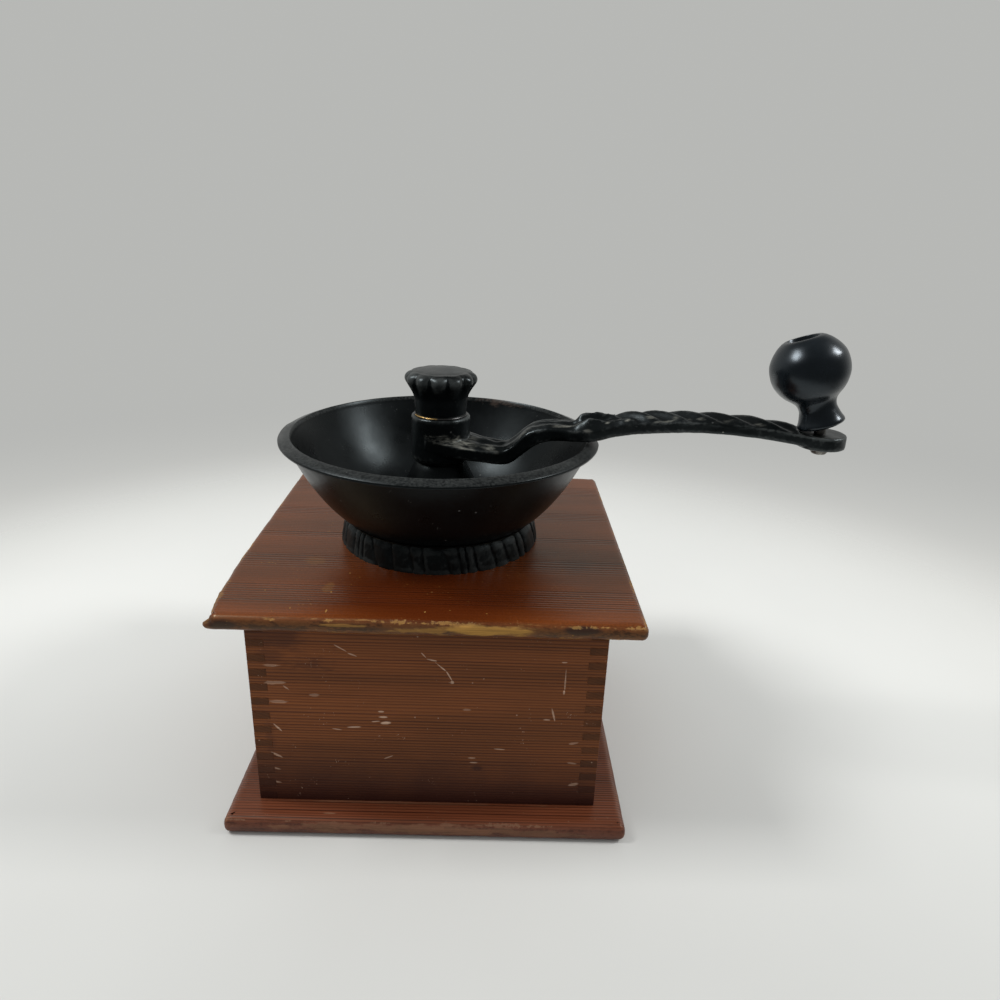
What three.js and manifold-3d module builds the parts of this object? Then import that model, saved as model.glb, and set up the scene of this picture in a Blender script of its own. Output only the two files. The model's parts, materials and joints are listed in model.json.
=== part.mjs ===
// Hand-cranked coffee grinder: a finger-jointed wooden box with a drawer, an open
// cast bowl on a pleated foot ring, and a conical burr mill driven by a cast crank.
// Units are millimetres. +Z is up, the origin is the middle of the base board's
// underside, the plain face of the box looks along -Y and the drawer opens along +Y.
import * as THREE from 'three';
import { mergeVertices } from 'three/addons/utils/BufferGeometryUtils.js';
import Module from 'manifold-3d';

const wasm = await Module();
wasm.setup();

// Clearances shared by all pieces
const fit = {
  running: 0.3, // between a turned or cut piece and what it sits in
  film: 0.05, // glue, paint or varnish between two flat faces
  overrun: 1, // how far a cutter passes through what it cuts
  weld: 0.0001, // points closer than this are one point
};

// How many sides the round pieces have
const sides = {
  hole: 8, screw: 10, pin: 14, pull: 18, shaft: 20, boss: 24, knob: 26, bridge: 27, hub: 30, opening: 36,
  bowl: 40,
};

// Wooden case
const base = { overhang: 12.2, thickness: 8.1, edgeRound: 3.3, cornerRadius: 2.5 };
const deck = { overhang: 12.2, thickness: 6.4, edgeRound: 2.6, cornerRadius: 2.5, openingRadius: 30 };
const box = { width: 140.6, depth: 140.6, height: 87.6, wall: 7.1, fingers: 26 };
const leastCornerShare = 0.15;
const caseScrew = { headRadius: 3.7, headHeight: 3.2, shankRadius: 1.8, length: 26, slot: 0.9, inset: 25 };
const headTopShare = 0.6;

// Drawer and its guides
const drawer = {
  height: 53, frontThickness: 9, sideThickness: 5, sideHeight: 45, backGap: 7.5,
  bottomThickness: 3, bottomLift: 4, grooveDepth: 2, play: 0.5,
};
const guide = { width: 8, height: 10, endGap: 1, wallGap: 3.15 };
const pull = { radius: 8, length: 15, boreRadius: 1.5, screwRadius: 1.2 };
const pullScrew = { headRadius: 3.2, headHeight: 1.6, bite: 9 };

// Cast bowl. The wall leaves its round foot outwards and climbs to the lip.
const bowl = {
  footRadius: 39.5, footHeight: 10.1, floor: 3.4, wall: 2.6, wallTopRadius: 66.4, wallTop: 46.4,
  flareOut: 12, flareUp: 7, climbIn: 5.7, climbDown: 12.7,
  lipInnerRadius: 64.5, lipInnerHeight: 49.2, lipOuterRadius: 69.6, lipOuterHeight: 47.6, lipEdge: 1.3,
  throatRadius: 17.4,
};
const bowlScrew = { circle: 33, headRadius: 3.1, headHeight: 2.2, shankRadius: 1.3, reach: 5.5 };
const footRing = {
  radius: 44.75, topRadius: 42.5, height: 11.2, pleatDepth: 1.3, edgeRound: 0.8, pleats: 42,
};

// Bearing bridge: a hollow cone on the bowl's floor, with three feed windows
const bridge = {
  topRadius: 11, rootRadius: 20.8, flangeRadius: 28.8, flange: 2.4, top: 35.2, wall: 2.8,
  bearingDepth: 9, windowWidth: 15, windowHeight: 16, windowSill: 1.5,
};
const bridgeScrew = { circle: 25, headRadius: 2.9, headHeight: 1.9, shankRadius: 1.5, reach: 9 };
const bush = { wall: 1.8, length: 9 };

// Burrs under the bowl, and the strap that carries the spindle's lower end. The cap nut
// draws the spindle up by the rise in adjust when the grind is set finer.
const outerBurr = {
  radius: 28.6, height: 22, mouthRadius: 17.2, waistRadius: 17.8, skirtRadius: 20.2, grindHeight: 6.8,
  toothDepth: 1, teeth: 20,
};
const innerBurr = {
  gap: 0.6, lift: 1.5, height: 19.3, noseRadius: 9.4, toothDepth: 1.1, ridgeDepth: 3, teeth: 20, ridges: 5,
};
const strap = { reach: 28, width: 9, bar: 4, drop: 9.6, leg: 6 };
const strapScrew = { circle: 24.8, headRadius: 2.7, headHeight: 1.9, shankRadius: 1.4, bite: 7 };

// Spindle, from its lower journal to the thread in the cap nut
const spindle = {
  radius: 4, square: 6.2, threadRadius: 2.9, journalRadius: 2.5, journalOverhang: 0.8,
  collarRadius: 6.5, collarHeight: 2.6, threadInNut: 11,
};
const burrNut = { acrossFlats: 10, height: 4 };
const adjust = { rise: 0.35 };

// Crank: hub, arm with a leaf-shaped root and a rope-twist top, and a round boss
const hub = { radius: 12.9, height: 20.9, footRadius: 11.3, footChamfer: 2.3, topChamfer: 0.6 };
const arm = {
  azimuth: -10, reach: 158.6, lowest: 2.1, rise: 21.2, side: 5, crown: 3, halfWidth: 7, step: 2.95,
  tail: 4, slantShare: 0.069, grooveShare: 0.42, veinShare: 0.07,
  underChamfer: 0.9,
};
const boss = { radius: 9.8, height: 5.7, chamfer: 0.7 };
const washer = { radius: 11.7, thickness: 0.6 };
const capNut = {
  neckRadius: 11.1, radius: 15.65, topRadius: 10.4, height: 18.7, boreRadius: 3.2, boreDepth: 12.8,
  lobes: 12, lobeDepth: 1.5,
};

// Turned knob, which leans on its pin because its bore is worn
const knob = {
  height: 36.65, radius: 15.25, wellRadius: 6, webThickness: 3, pivotRise: 1, boreRadius: 3.4, lean: 20.3,
  leanTowards: 157.5,
};
const pin = {
  radius: 2.25, inset: 0.7, tailRadius: 3.5, tailHeight: 3, tailShift: 0.9, headRadius: 3.8, headHeight: 1.6,
};

// Finishes
const finishes = {
  frontWood: new THREE.MeshStandardMaterial({ color: 0x5c3322, roughness: 0.45, metalness: 0 }),
  boardWood: new THREE.MeshStandardMaterial({ color: 0x77432d, roughness: 0.4, metalness: 0 }),
  drawerWood: new THREE.MeshStandardMaterial({ color: 0x8a6242, roughness: 0.6, metalness: 0 }),
  castIron: new THREE.MeshStandardMaterial({ color: 0x1e2224, roughness: 0.5, metalness: 0.3 }),
  crankIron: new THREE.MeshStandardMaterial({ color: 0x191b1c, roughness: 0.4, metalness: 0.4 }),
  burrIron: new THREE.MeshStandardMaterial({ color: 0x4d4d4b, roughness: 0.5, metalness: 0.9 }),
  steel: new THREE.MeshStandardMaterial({ color: 0x8d8c88, roughness: 0.4, metalness: 1 }),
  brass: new THREE.MeshStandardMaterial({ color: 0xb18a4a, roughness: 0.4, metalness: 1 }),
  knobPaint: new THREE.MeshStandardMaterial({ color: 0x0e0f12, roughness: 0.2, metalness: 0 }),
};

// Heights that follow from the sizes above
const caseTop = base.thickness + box.height;
const deckTop = caseTop + deck.thickness;
const bowlBottom = deckTop + fit.film;
const bowlFloor = bowlBottom + bowl.floor;
const bridgeBottom = bowlFloor + fit.film;
const bridgeTop = bowlBottom + bridge.top - fit.film;
const burrTop = bowlBottom - fit.film;
const burrBottom = burrTop - outerBurr.height;
const coneBottom = burrBottom + innerBurr.lift;
const coneTop = coneBottom + innerBurr.height;
const collarBottom = coneTop + fit.film;
const nutTop = coneBottom - fit.film;
const strapTop = burrBottom - fit.film;
const strapBottom = strapTop - strap.drop;
const hubBottom = bridgeTop + fit.running;
const hubTop = hubBottom + hub.height;
const washerBottom = hubTop + fit.film;
const capNutBottom = washerBottom + washer.thickness + fit.film;
const frontFace = box.depth / 2;
const sideFace = box.width / 2;
const drawerBottom = base.thickness + drawer.play;
const drawerHalf = sideFace - box.wall - guide.wallGap - guide.width - fit.film;

// The crank, the spindle and the inner burr all point the crank's way
const azimuth = THREE.MathUtils.degToRad(arm.azimuth);

const assembly = new THREE.Group();
assembly.name = 'coffee_grinder';

// Merges a geometry's vertices, drops collapsed triangles and turns its faces outwards.
function weld(geometry) {
  const bare = new THREE.BufferGeometry();
  bare.setAttribute('position', geometry.getAttribute('position').clone());
  if (geometry.index) {
    bare.setIndex(geometry.index.clone());
  }
  const merged = mergeVertices(bare, fit.weld);
  const index = merged.index.array;
  const place = merged.getAttribute('position');
  const kept = [];
  for (let i = 0; i < index.length; i += 3) {
    const [a, b, c] = [index[i], index[i + 1], index[i + 2]];
    if (a !== b && b !== c && c !== a) {
      kept.push(a, b, c);
    }
  }
  const corners = [new THREE.Vector3(), new THREE.Vector3(), new THREE.Vector3()];
  let volume = 0;
  for (let i = 0; i < kept.length; i += 3) {
    corners.forEach((corner, k) => corner.fromBufferAttribute(place, kept[i + k]));
    volume += corners[0].dot(corners[1].clone().cross(corners[2]));
  }
  if (volume < 0) {
    for (let i = 0; i < kept.length; i += 3) {
      [kept[i], kept[i + 1]] = [kept[i + 1], kept[i]];
    }
  }
  merged.setIndex(kept);
  return merged;
}

function toSolid(geometry) {
  const closed = weld(geometry);
  return new wasm.Manifold(new wasm.Mesh({
    numProp: 3,
    vertProperties: new Float32Array(closed.getAttribute('position').array),
    triVerts: new Uint32Array(closed.index.array),
  }));
}

function toGeometry(solid) {
  const mesh = solid.getMesh();
  const geometry = new THREE.BufferGeometry();
  geometry.setAttribute('position', new THREE.BufferAttribute(new Float32Array(mesh.vertProperties), 3));
  geometry.setIndex(new THREE.BufferAttribute(new Uint32Array(mesh.triVerts), 1));
  return geometry;
}

// Joins the first list of geometries and cuts the second list away from them.
function build(parts, cutters = []) {
  let solid = toSolid(parts[0]);
  for (const part of parts.slice(1)) {
    solid = solid.add(toSolid(part));
  }
  for (const cutter of cutters) {
    solid = solid.subtract(toSolid(cutter));
  }
  return toGeometry(solid);
}

function addPiece(name, geometry, material) {
  const mesh = new THREE.Mesh(weld(geometry), material);
  mesh.name = name;
  assembly.add(mesh);
  return mesh;
}

// A turned solid about +Z from [radius, height] points.
function turned(points, segments) {
  const profile = points.map(([radius, height]) => new THREE.Vector2(radius, height));
  return new THREE.LatheGeometry(profile, segments).rotateX(Math.PI / 2);
}

function rod(radius, bottom, top, segments = sides.shaft) {
  return turned([[0, bottom], [radius, bottom], [radius, top], [0, top]], segments);
}

function blockAt(x0, x1, y0, y1, z0, z1) {
  const block = new THREE.BoxGeometry(x1 - x0, y1 - y0, z1 - z0);
  return block.translate((x0 + x1) / 2, (y0 + y1) / 2, (z0 + z1) / 2);
}

function outline(points) {
  return new THREE.Shape(points.map(([x, y]) => new THREE.Vector2(x, y)));
}

// An outline drawn in X and Z, carried along Y between two places.
function panelXZ(shape, y0, y1) {
  const panel = new THREE.ExtrudeGeometry(shape, { depth: y1 - y0, bevelEnabled: false });
  return panel.rotateX(Math.PI / 2).translate(0, y1, 0);
}

// Walls of a closed body through rings of points, each ring a list of [x, y, z].
function skin(rings) {
  const positions = [];
  const index = [];
  const count = rings[0].length;
  rings.forEach((ring) => ring.forEach((point) => positions.push(...point)));
  for (let k = 0; k + 1 < rings.length; k += 1) {
    for (let i = 0; i < count; i += 1) {
      const j = (i + 1) % count;
      const [a, b, c, d] = [k * count + i, k * count + j, (k + 1) * count + j, (k + 1) * count + i];
      index.push(a, b, c, a, c, d);
    }
  }
  [0, rings.length - 1].forEach((end) => {
    const middle = positions.length / 3;
    const sum = rings[end].reduce(
      (total, point) => total.map((value, axis) => value + point[axis]), [0, 0, 0],
    );
    positions.push(...sum.map((value) => value / count));
    for (let i = 0; i < count; i += 1) {
      const [a, b] = [end * count + i, end * count + ((i + 1) % count)];
      index.push(...(end === 0 ? [middle, b, a] : [middle, a, b]));
    }
  });
  const geometry = new THREE.BufferGeometry();
  geometry.setAttribute('position', new THREE.Float32BufferAttribute(positions, 3));
  geometry.setIndex(index);
  return geometry;
}

// A round body whose radius depends on the height and the angle.
function formed(heights, samples, radiusAt) {
  return skin(heights.map((height) => Array.from({ length: samples }, (_, i) => {
    const angle = (2 * Math.PI * i) / samples;
    const radius = radiusAt(height, angle);
    return [radius * Math.cos(angle), radius * Math.sin(angle), height];
  })));
}

function around(count, start, place) {
  return Array.from({ length: count }, (_, i) => place(start + (2 * Math.PI * i) / count, i));
}

function mix(from, to, share) {
  return from + (to - from) * share;
}

// One level of a board: a rectangle drawn in by an inset, with its corners rounded.
function boardRing(size, inset, height) {
  const radius = Math.max(size.cornerRadius - inset, size.cornerRadius * leastCornerShare);
  const [x, y] = [sideFace, frontFace].map((face) => face + size.overhang - inset - radius);
  const steps = 2;
  return [[1, 1], [-1, 1], [-1, -1], [1, -1]].flatMap(([sx, sy], corner) => (
    Array.from({ length: steps + 1 }, (_, i) => {
      const angle = (Math.PI / 2) * (corner + i / steps);
      return [sx * x + radius * Math.cos(angle), sy * y + radius * Math.sin(angle), height];
    })
  ));
}

// A board lying flat, with its edges rounded over above and below.
function roundedBoard(size, bottom) {
  const steps = 2;
  const bends = Array.from({ length: steps + 1 }, (_, i) => (Math.PI / 2) * (i / steps));
  const lower = bends.map((bend) => boardRing(
    size, size.edgeRound * (1 - Math.sin(bend)), bottom + size.edgeRound * (1 - Math.cos(bend)),
  ));
  const upper = bends.map((bend) => boardRing(
    size, size.edgeRound * (1 - Math.cos(bend)),
    bottom + size.thickness - size.edgeRound * (1 - Math.sin(bend)),
  ));
  return skin([...lower, ...upper]);
}

// One wall of the box, drawn flat: its ends carry every other finger, and an optional
// notch in its lower edge lets the drawer through.
function fingerWall(width, firstFinger, notch) {
  const pitch = box.height / box.fingers;
  const half = width / 2;
  const ends = [];
  for (let i = 0; i < box.fingers; i += 1) {
    const long = (i % 2) === firstFinger;
    const reach = long ? half : half - box.wall - fit.film;
    const trim = long ? fit.film : -fit.film;
    const low = i === 0 ? 0 : i * pitch + trim / 2;
    const high = i === box.fingers - 1 ? box.height : (i + 1) * pitch - trim / 2;
    ends.push([reach, low], [reach, high]);
  }
  const right = ends.map(([x, z]) => [x, base.thickness + fit.film / 2 + z * (1 - fit.film / box.height)]);
  const left = right.map(([x, z]) => [-x, z]).reverse();
  const foot = right[0][1];
  const notchPoints = notch ? [
    [-notch.width / 2, foot], [-notch.width / 2, foot + notch.height],
    [notch.width / 2, foot + notch.height], [notch.width / 2, foot],
  ] : [];
  return outline([...right, ...left, ...notchPoints]);
}

function countersunkScrew(x, y) {
  const [head, shank] = [caseScrew.headRadius, caseScrew.shankRadius];
  const point = caseScrew.length - caseScrew.headHeight;
  const body = turned([
    [0, 0], [head, 0], [shank, caseScrew.headHeight], [shank, point], [0, caseScrew.length],
  ], sides.screw);
  const slot = blockAt(-head, head, -caseScrew.slot / 2, caseScrew.slot / 2, -fit.overrun, caseScrew.slot);
  return build([body], [slot]).translate(x, y, fit.running);
}

function countersunkHole(x, y) {
  const gap = fit.running;
  const hole = turned([
    [0, -fit.overrun], [caseScrew.headRadius + gap, -fit.overrun], [caseScrew.headRadius + gap, gap],
    [caseScrew.shankRadius + gap, caseScrew.headHeight + 2 * gap],
    [caseScrew.shankRadius + gap, caseScrew.length + 2 * gap], [0, caseScrew.length + 2 * gap],
  ], sides.screw);
  return hole.translate(x, y, 0);
}

// The case: base board, four finger-jointed walls and the deck board
const screwRow = sideFace - box.wall / 2;
const caseScrewPlaces = [[-1, -1], [1, -1], [-1, 1], [1, 1]].map(
  ([sx, sy]) => [sx * screwRow, sy * (frontFace - caseScrew.inset)],
);
const caseHoles = caseScrewPlaces.map(([x, y]) => countersunkHole(x, y));
addPiece('base_board', build([roundedBoard(base, 0)], caseHoles), finishes.boardWood);
caseScrewPlaces.forEach(([x, y], i) => {
  addPiece(`base_screw_${i + 1}`, countersunkScrew(x, y), finishes.steel);
});

const frontOutline = fingerWall(box.width, 1, null);
const backOutline = fingerWall(box.width, 1, { width: 2 * drawerHalf, height: drawer.height });
const sideOutline = fingerWall(box.depth, 0, null);
addPiece('front_wall', panelXZ(frontOutline, -frontFace, -frontFace + box.wall), finishes.frontWood);
addPiece('back_wall', panelXZ(backOutline, frontFace - box.wall, frontFace), finishes.frontWood);
const sideWall = panelXZ(sideOutline, sideFace - box.wall, sideFace).rotateZ(-Math.PI / 2);
addPiece('right_wall', build([sideWall], caseHoles), finishes.frontWood);
addPiece('left_wall', build([sideWall.clone().rotateZ(Math.PI)], caseHoles), finishes.frontWood);

const bowlScrewPlaces = around(3, Math.PI / 2, (angle) => [
  bowlScrew.circle * Math.cos(angle), bowlScrew.circle * Math.sin(angle),
]);
const deckCutters = [
  rod(deck.openingRadius, caseTop - fit.overrun, deckTop + fit.overrun, sides.opening),
  ...bowlScrewPlaces.map(([x, y]) => rod(
    bowlScrew.shankRadius + fit.running, deckTop - bowlScrew.reach - fit.running,
    deckTop + fit.overrun, sides.hole,
  ).translate(x, y, 0)),
];
addPiece('deck_board', build([roundedBoard(deck, caseTop)], deckCutters), finishes.boardWood);

// The drawer and the strips that guide it
const drawerBack = box.wall + drawer.backGap - frontFace;
const sideOuter = drawerHalf - drawer.play;
const sideInner = sideOuter - drawer.sideThickness;
const panelLow = drawerBottom + drawer.bottomLift;
const panelHigh = panelLow + drawer.bottomThickness;
const grooveLow = panelLow - fit.film;
const grooveHigh = panelHigh + fit.film;
const frontInner = frontFace - drawer.frontThickness;
const sideTop = drawerBottom + drawer.sideHeight;
[-1, 1].forEach((side) => {
  const inner = drawerHalf + fit.film;
  const outer = inner + guide.width;
  const inside = frontFace - box.wall - guide.endGap;
  const bottom = base.thickness + fit.film;
  const strip = blockAt(
    Math.min(side * inner, side * outer), Math.max(side * inner, side * outer),
    -inside, inside, bottom, bottom + guide.height,
  );
  addPiece(side < 0 ? 'drawer_guide_left' : 'drawer_guide_right', strip, finishes.drawerWood);
  const section = outline([
    [side * sideOuter, drawerBottom], [side * sideOuter, sideTop], [side * sideInner, sideTop],
    [side * sideInner, grooveHigh], [side * (sideInner + drawer.grooveDepth), grooveHigh],
    [side * (sideInner + drawer.grooveDepth), grooveLow], [side * sideInner, grooveLow],
    [side * sideInner, drawerBottom],
  ]);
  addPiece(
    side < 0 ? 'drawer_left_side' : 'drawer_right_side',
    panelXZ(section, drawerBack, frontInner - fit.film), finishes.drawerWood,
  );
});
const pullHeight = drawerBottom + (drawer.height - 2 * drawer.play) / 2;
const frontBlock = blockAt(
  -sideOuter, sideOuter, frontInner, frontFace, drawerBottom, drawerBottom + drawer.height - 2 * drawer.play,
);
const frontGroove = blockAt(
  -sideInner - drawer.grooveDepth, sideInner + drawer.grooveDepth, frontInner - fit.overrun,
  frontInner + drawer.grooveDepth + fit.film, grooveLow, grooveHigh,
);
const pullHole = rod(pull.screwRadius + fit.running, -box.depth, box.depth, sides.pin)
  .rotateX(-Math.PI / 2).translate(0, 0, pullHeight);
addPiece('drawer_front', build([frontBlock], [frontGroove, pullHole]), finishes.frontWood);
addPiece('drawer_back', blockAt(
  -sideInner + fit.film, sideInner - fit.film, drawerBack, drawerBack + drawer.sideThickness,
  panelHigh + fit.film, sideTop,
), finishes.drawerWood);
addPiece('drawer_bottom', blockAt(
  -sideInner - drawer.grooveDepth + fit.film, sideInner + drawer.grooveDepth - fit.film,
  drawerBack, frontInner + drawer.grooveDepth, panelLow, panelHigh,
), finishes.drawerWood);
const pullShares = [
  [0, 0], [0.75, 0], [0.71, 0.1], [0.58, 0.32], [0.77, 0.5], [1, 0.68], [0.98, 0.86], [0.6, 1], [0, 1],
];
const pullProfile = pullShares.map(([out, along]) => [out * pull.radius, along * pull.length]);
const pullBody = turned(pullProfile, sides.pull);
const pullBore = rod(pull.boreRadius, -fit.overrun, pullScrew.bite + fit.running, sides.pin);
addPiece('drawer_pull', build([pullBody], [pullBore])
  .rotateX(-Math.PI / 2).translate(0, frontFace + fit.film, pullHeight), finishes.brass);
const pullScrewBody = turned([
  [0, 0], [pullScrew.headRadius, 0], [pullScrew.headRadius, pullScrew.headHeight],
  [pull.screwRadius, pullScrew.headHeight],
  [pull.screwRadius, pullScrew.headHeight + drawer.frontThickness + pullScrew.bite - fit.running],
  [0, pullScrew.headHeight + drawer.frontThickness + pullScrew.bite - fit.running],
], sides.screw);
addPiece('drawer_pull_screw', pullScrewBody.rotateX(-Math.PI / 2)
  .translate(0, frontInner - pullScrew.headHeight - fit.film, pullHeight), finishes.steel);

// The bowl: an outer curve from the foot to the lip, and an inner one a wall away
const wallCurve = new THREE.CubicBezierCurve(
  new THREE.Vector2(bowl.footRadius, bowl.footHeight),
  new THREE.Vector2(bowl.footRadius + bowl.flareOut, bowl.footHeight + bowl.flareUp),
  new THREE.Vector2(bowl.wallTopRadius - bowl.climbIn, bowl.wallTop - bowl.climbDown),
  new THREE.Vector2(bowl.wallTopRadius, bowl.wallTop),
);
const wallShares = [0, 0.16, 0.36, 0.62, 1];
const outerWall = wallShares.map((share) => {
  const point = wallCurve.getPoint(share);
  return [point.x, point.y];
});
const innerWall = wallShares.slice(1, -1).map((share) => {
  const point = wallCurve.getPoint(share);
  const along = wallCurve.getTangent(share);
  return [point.x - along.y * bowl.wall, point.y + along.x * bowl.wall];
}).reverse();
const bowlProfile = [
  [bowl.throatRadius, 0], [bowl.footRadius, 0], ...outerWall,
  [bowl.lipOuterRadius, bowl.lipOuterHeight - bowl.lipEdge], [bowl.lipOuterRadius, bowl.lipOuterHeight],
  [bowl.lipInnerRadius, bowl.lipInnerHeight],
  ...innerWall, [bowl.footRadius - bowl.wall, bowl.footHeight - bowl.wall],
  [bowl.footRadius - bowl.wall, bowl.floor], [bowl.throatRadius, bowl.floor], [bowl.throatRadius, 0],
];
const bridgeScrewPlaces = around(3, Math.PI / 2, (angle) => [
  bridgeScrew.circle * Math.cos(angle + Math.PI / 3), bridgeScrew.circle * Math.sin(angle + Math.PI / 3),
]);
const bowlHoles = [
  ...bowlScrewPlaces.map(([x, y]) => rod(
    bowlScrew.shankRadius + fit.running, bowlBottom - fit.overrun, bowlFloor + fit.overrun, sides.hole,
  ).translate(x, y, 0)),
  ...bridgeScrewPlaces.map(([x, y]) => rod(
    bridgeScrew.shankRadius + fit.running, bowlBottom - fit.overrun, bowlFloor + fit.overrun, sides.hole,
  ).translate(x, y, 0)),
];
const bowlBody = turned(bowlProfile, sides.bowl).translate(0, 0, bowlBottom);
addPiece('bowl', build([bowlBody], bowlHoles), finishes.castIron);

function roundHeadScrew(size, below) {
  return turned([
    [0, -below], [size.shankRadius, -below], [size.shankRadius, 0], [size.headRadius, 0],
    [size.headRadius * headTopShare, size.headHeight], [0, size.headHeight],
  ], sides.screw);
}
bowlScrewPlaces.forEach(([x, y], i) => {
  const screw = roundHeadScrew(bowlScrew, bowl.floor + bowlScrew.reach);
  addPiece(`bowl_screw_${i + 1}`, screw.translate(x, y, bowlFloor + fit.film), finishes.steel);
});

// The pleated foot ring round the bowl's foot: leaning folds of uneven width
const ringBottom = deckTop + fit.film;
const swayShares = [0.06, 0.035];
const swayWaves = [5, 11];
const foldLeanShare = 0.35;
const foldPowers = [0.75, 0.7];
function pleatAt(angle, climb) {
  const sway = swayShares[0] * Math.sin(swayWaves[0] * angle)
    + swayShares[1] * Math.sin(swayWaves[1] * angle + 1);
  const turn = (footRing.pleats * (angle + sway)) / (2 * Math.PI) + foldLeanShare * climb;
  const inFold = turn - Math.floor(turn);
  return Math.sin(Math.PI * inFold ** foldPowers[0]) ** foldPowers[1];
}
const ringShares = [0, 0.8, 1];
const ringHeights = ringShares.map((share) => share * footRing.height);
const ringBody = formed(ringHeights, footRing.pleats * 3, (height, angle) => {
  const climb = height / footRing.height;
  const ease = footRing.edgeRound * Math.max(0, (climb - ringShares[1]) / (1 - ringShares[1]));
  const crest = mix(footRing.radius, footRing.topRadius, climb) - ease;
  return crest - footRing.pleatDepth * (1 - pleatAt(angle, climb));
});
const bowlGauge = wallShares.slice(0, 3).map((share) => {
  const point = wallCurve.getPoint(share);
  const along = wallCurve.getTangent(share);
  return [point.x + along.y * fit.running, point.y - along.x * fit.running];
});
const gaugeFoot = bowl.footRadius + fit.running;
const ringBore = turned([
  [0, -fit.overrun], [gaugeFoot, -fit.overrun], [gaugeFoot, bowlGauge[0][1] - fit.film],
  ...bowlGauge, [0, bowlGauge[2][1]],
], sides.bowl);
addPiece('foot_ring', build([ringBody], [ringBore]).translate(0, 0, ringBottom), finishes.castIron);

// The bearing bridge: a hollow cone with three arched feed windows, on a screwed flange
const coneFoot = bridge.flange;
const coneHeight = bridgeTop - bridgeBottom;
const bushRadius = spindle.radius + fit.running + bush.wall;
const bearingLow = coneHeight - bridge.bearingDepth;
const bellShares = [[0, 1], [0.3, 0.88], [0.55, 0.64], [0.78, 0.33], [1, 0]];
const bell = bellShares.map(([climb, spread]) => [
  mix(bridge.topRadius, bridge.rootRadius, spread), mix(coneFoot, coneHeight, climb),
]);
const bellInside = bell.slice(0, 3).map(([radius, height]) => [radius - bridge.wall, height]).reverse();
const bridgeProfile = [
  [bridge.rootRadius - bridge.wall, 0], [bridge.flangeRadius, 0], [bridge.flangeRadius, bridge.flange],
  ...bell, [bushRadius + fit.running, coneHeight], [bushRadius + fit.running, bearingLow],
  [bellInside[0][0], bearingLow],
  ...bellInside, [bridge.rootRadius - bridge.wall, 0],
];
const archShares = [[1, 0], [0.9, 0.63], [0.76, 0.82], [0.44, 0.95], [0, 1]];
function feedWindow(angle) {
  const right = archShares.map(([out, up]) => [out * (bridge.windowWidth / 2), up * bridge.windowHeight]);
  const left = right.slice(0, -1).map(([x, z]) => [-x, z]).reverse();
  const arch = outline([...right, ...left]);
  const cutter = new THREE.ExtrudeGeometry(arch, { depth: bridge.flangeRadius, bevelEnabled: false });
  return cutter.rotateX(Math.PI / 2).rotateZ(angle + Math.PI / 2)
    .translate(0, 0, bridge.flange + bridge.windowSill);
}
const bridgeCutters = [
  ...around(3, Math.PI / 2, (angle) => feedWindow(angle)),
  ...bridgeScrewPlaces.map(([x, y]) => rod(
    bridgeScrew.shankRadius + fit.running, -fit.overrun, bridge.flange + fit.overrun, sides.hole,
  ).translate(x, y, 0)),
];
addPiece('bearing_bridge', build([turned(bridgeProfile, sides.bridge)], bridgeCutters)
  .translate(0, 0, bridgeBottom), finishes.castIron);
addPiece('spindle_bush', turned([
  [spindle.radius + fit.running, 0], [bushRadius, 0], [bushRadius, bush.length],
  [spindle.radius + fit.running, bush.length], [spindle.radius + fit.running, 0],
], sides.shaft).translate(0, 0, bridgeTop - bush.length), finishes.brass);
bridgeScrewPlaces.forEach(([x, y], i) => {
  const screw = roundHeadScrew(bridgeScrew, bridge.flange + bowl.floor + bridgeScrew.reach);
  screw.translate(x, y, bridgeBottom + bridge.flange + fit.film);
  addPiece(`bridge_screw_${i + 1}`, screw, finishes.steel);
});

// The burrs: sawteeth on a cone, coarse ridges at the nose running into fine teeth
const toothRiseShare = 0.75;
function sawtooth(turns) {
  const inTooth = turns - Math.floor(turns);
  return inTooth < toothRiseShare ? inTooth / toothRiseShare : (1 - inTooth) / (1 - toothRiseShare);
}
const grindTop = burrBottom + outerBurr.grindHeight;
function outerCrest(height) {
  if (height < grindTop) {
    return mix(outerBurr.skirtRadius, outerBurr.waistRadius, (height - burrBottom) / outerBurr.grindHeight);
  }
  return mix(outerBurr.waistRadius, outerBurr.mouthRadius, (height - grindTop) / (burrTop - grindTop));
}
const outerShares = [0, 0.31, 1];
const overShare = fit.overrun / outerBurr.height;
const outerCavity = formed(
  [-overShare, ...outerShares.slice(1, -1), 1 + overShare].map(
    (share) => burrBottom + share * outerBurr.height,
  ),
  outerBurr.teeth * 4,
  (height, angle) => outerCrest(height)
    + outerBurr.toothDepth * sawtooth((outerBurr.teeth * angle) / (2 * Math.PI)),
);
const strapScrewPlaces = [[-strapScrew.circle, 0], [strapScrew.circle, 0]];
const burrHoles = [
  ...bridgeScrewPlaces.map(([x, y]) => rod(
    bridgeScrew.shankRadius + fit.running, burrTop - bridgeScrew.reach - fit.running, burrTop + fit.overrun,
    sides.hole,
  ).translate(x, y, 0)),
  ...strapScrewPlaces.map(([x, y]) => rod(
    strapScrew.shankRadius + fit.running, burrBottom - fit.overrun,
    burrBottom + strapScrew.bite + fit.running,
    sides.hole,
  ).translate(x, y, 0)),
];
const outerBody = rod(outerBurr.radius, burrBottom, burrTop, sides.opening);
addPiece('outer_burr', build([outerBody], [outerCavity, ...burrHoles]), finishes.burrIron);

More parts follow.
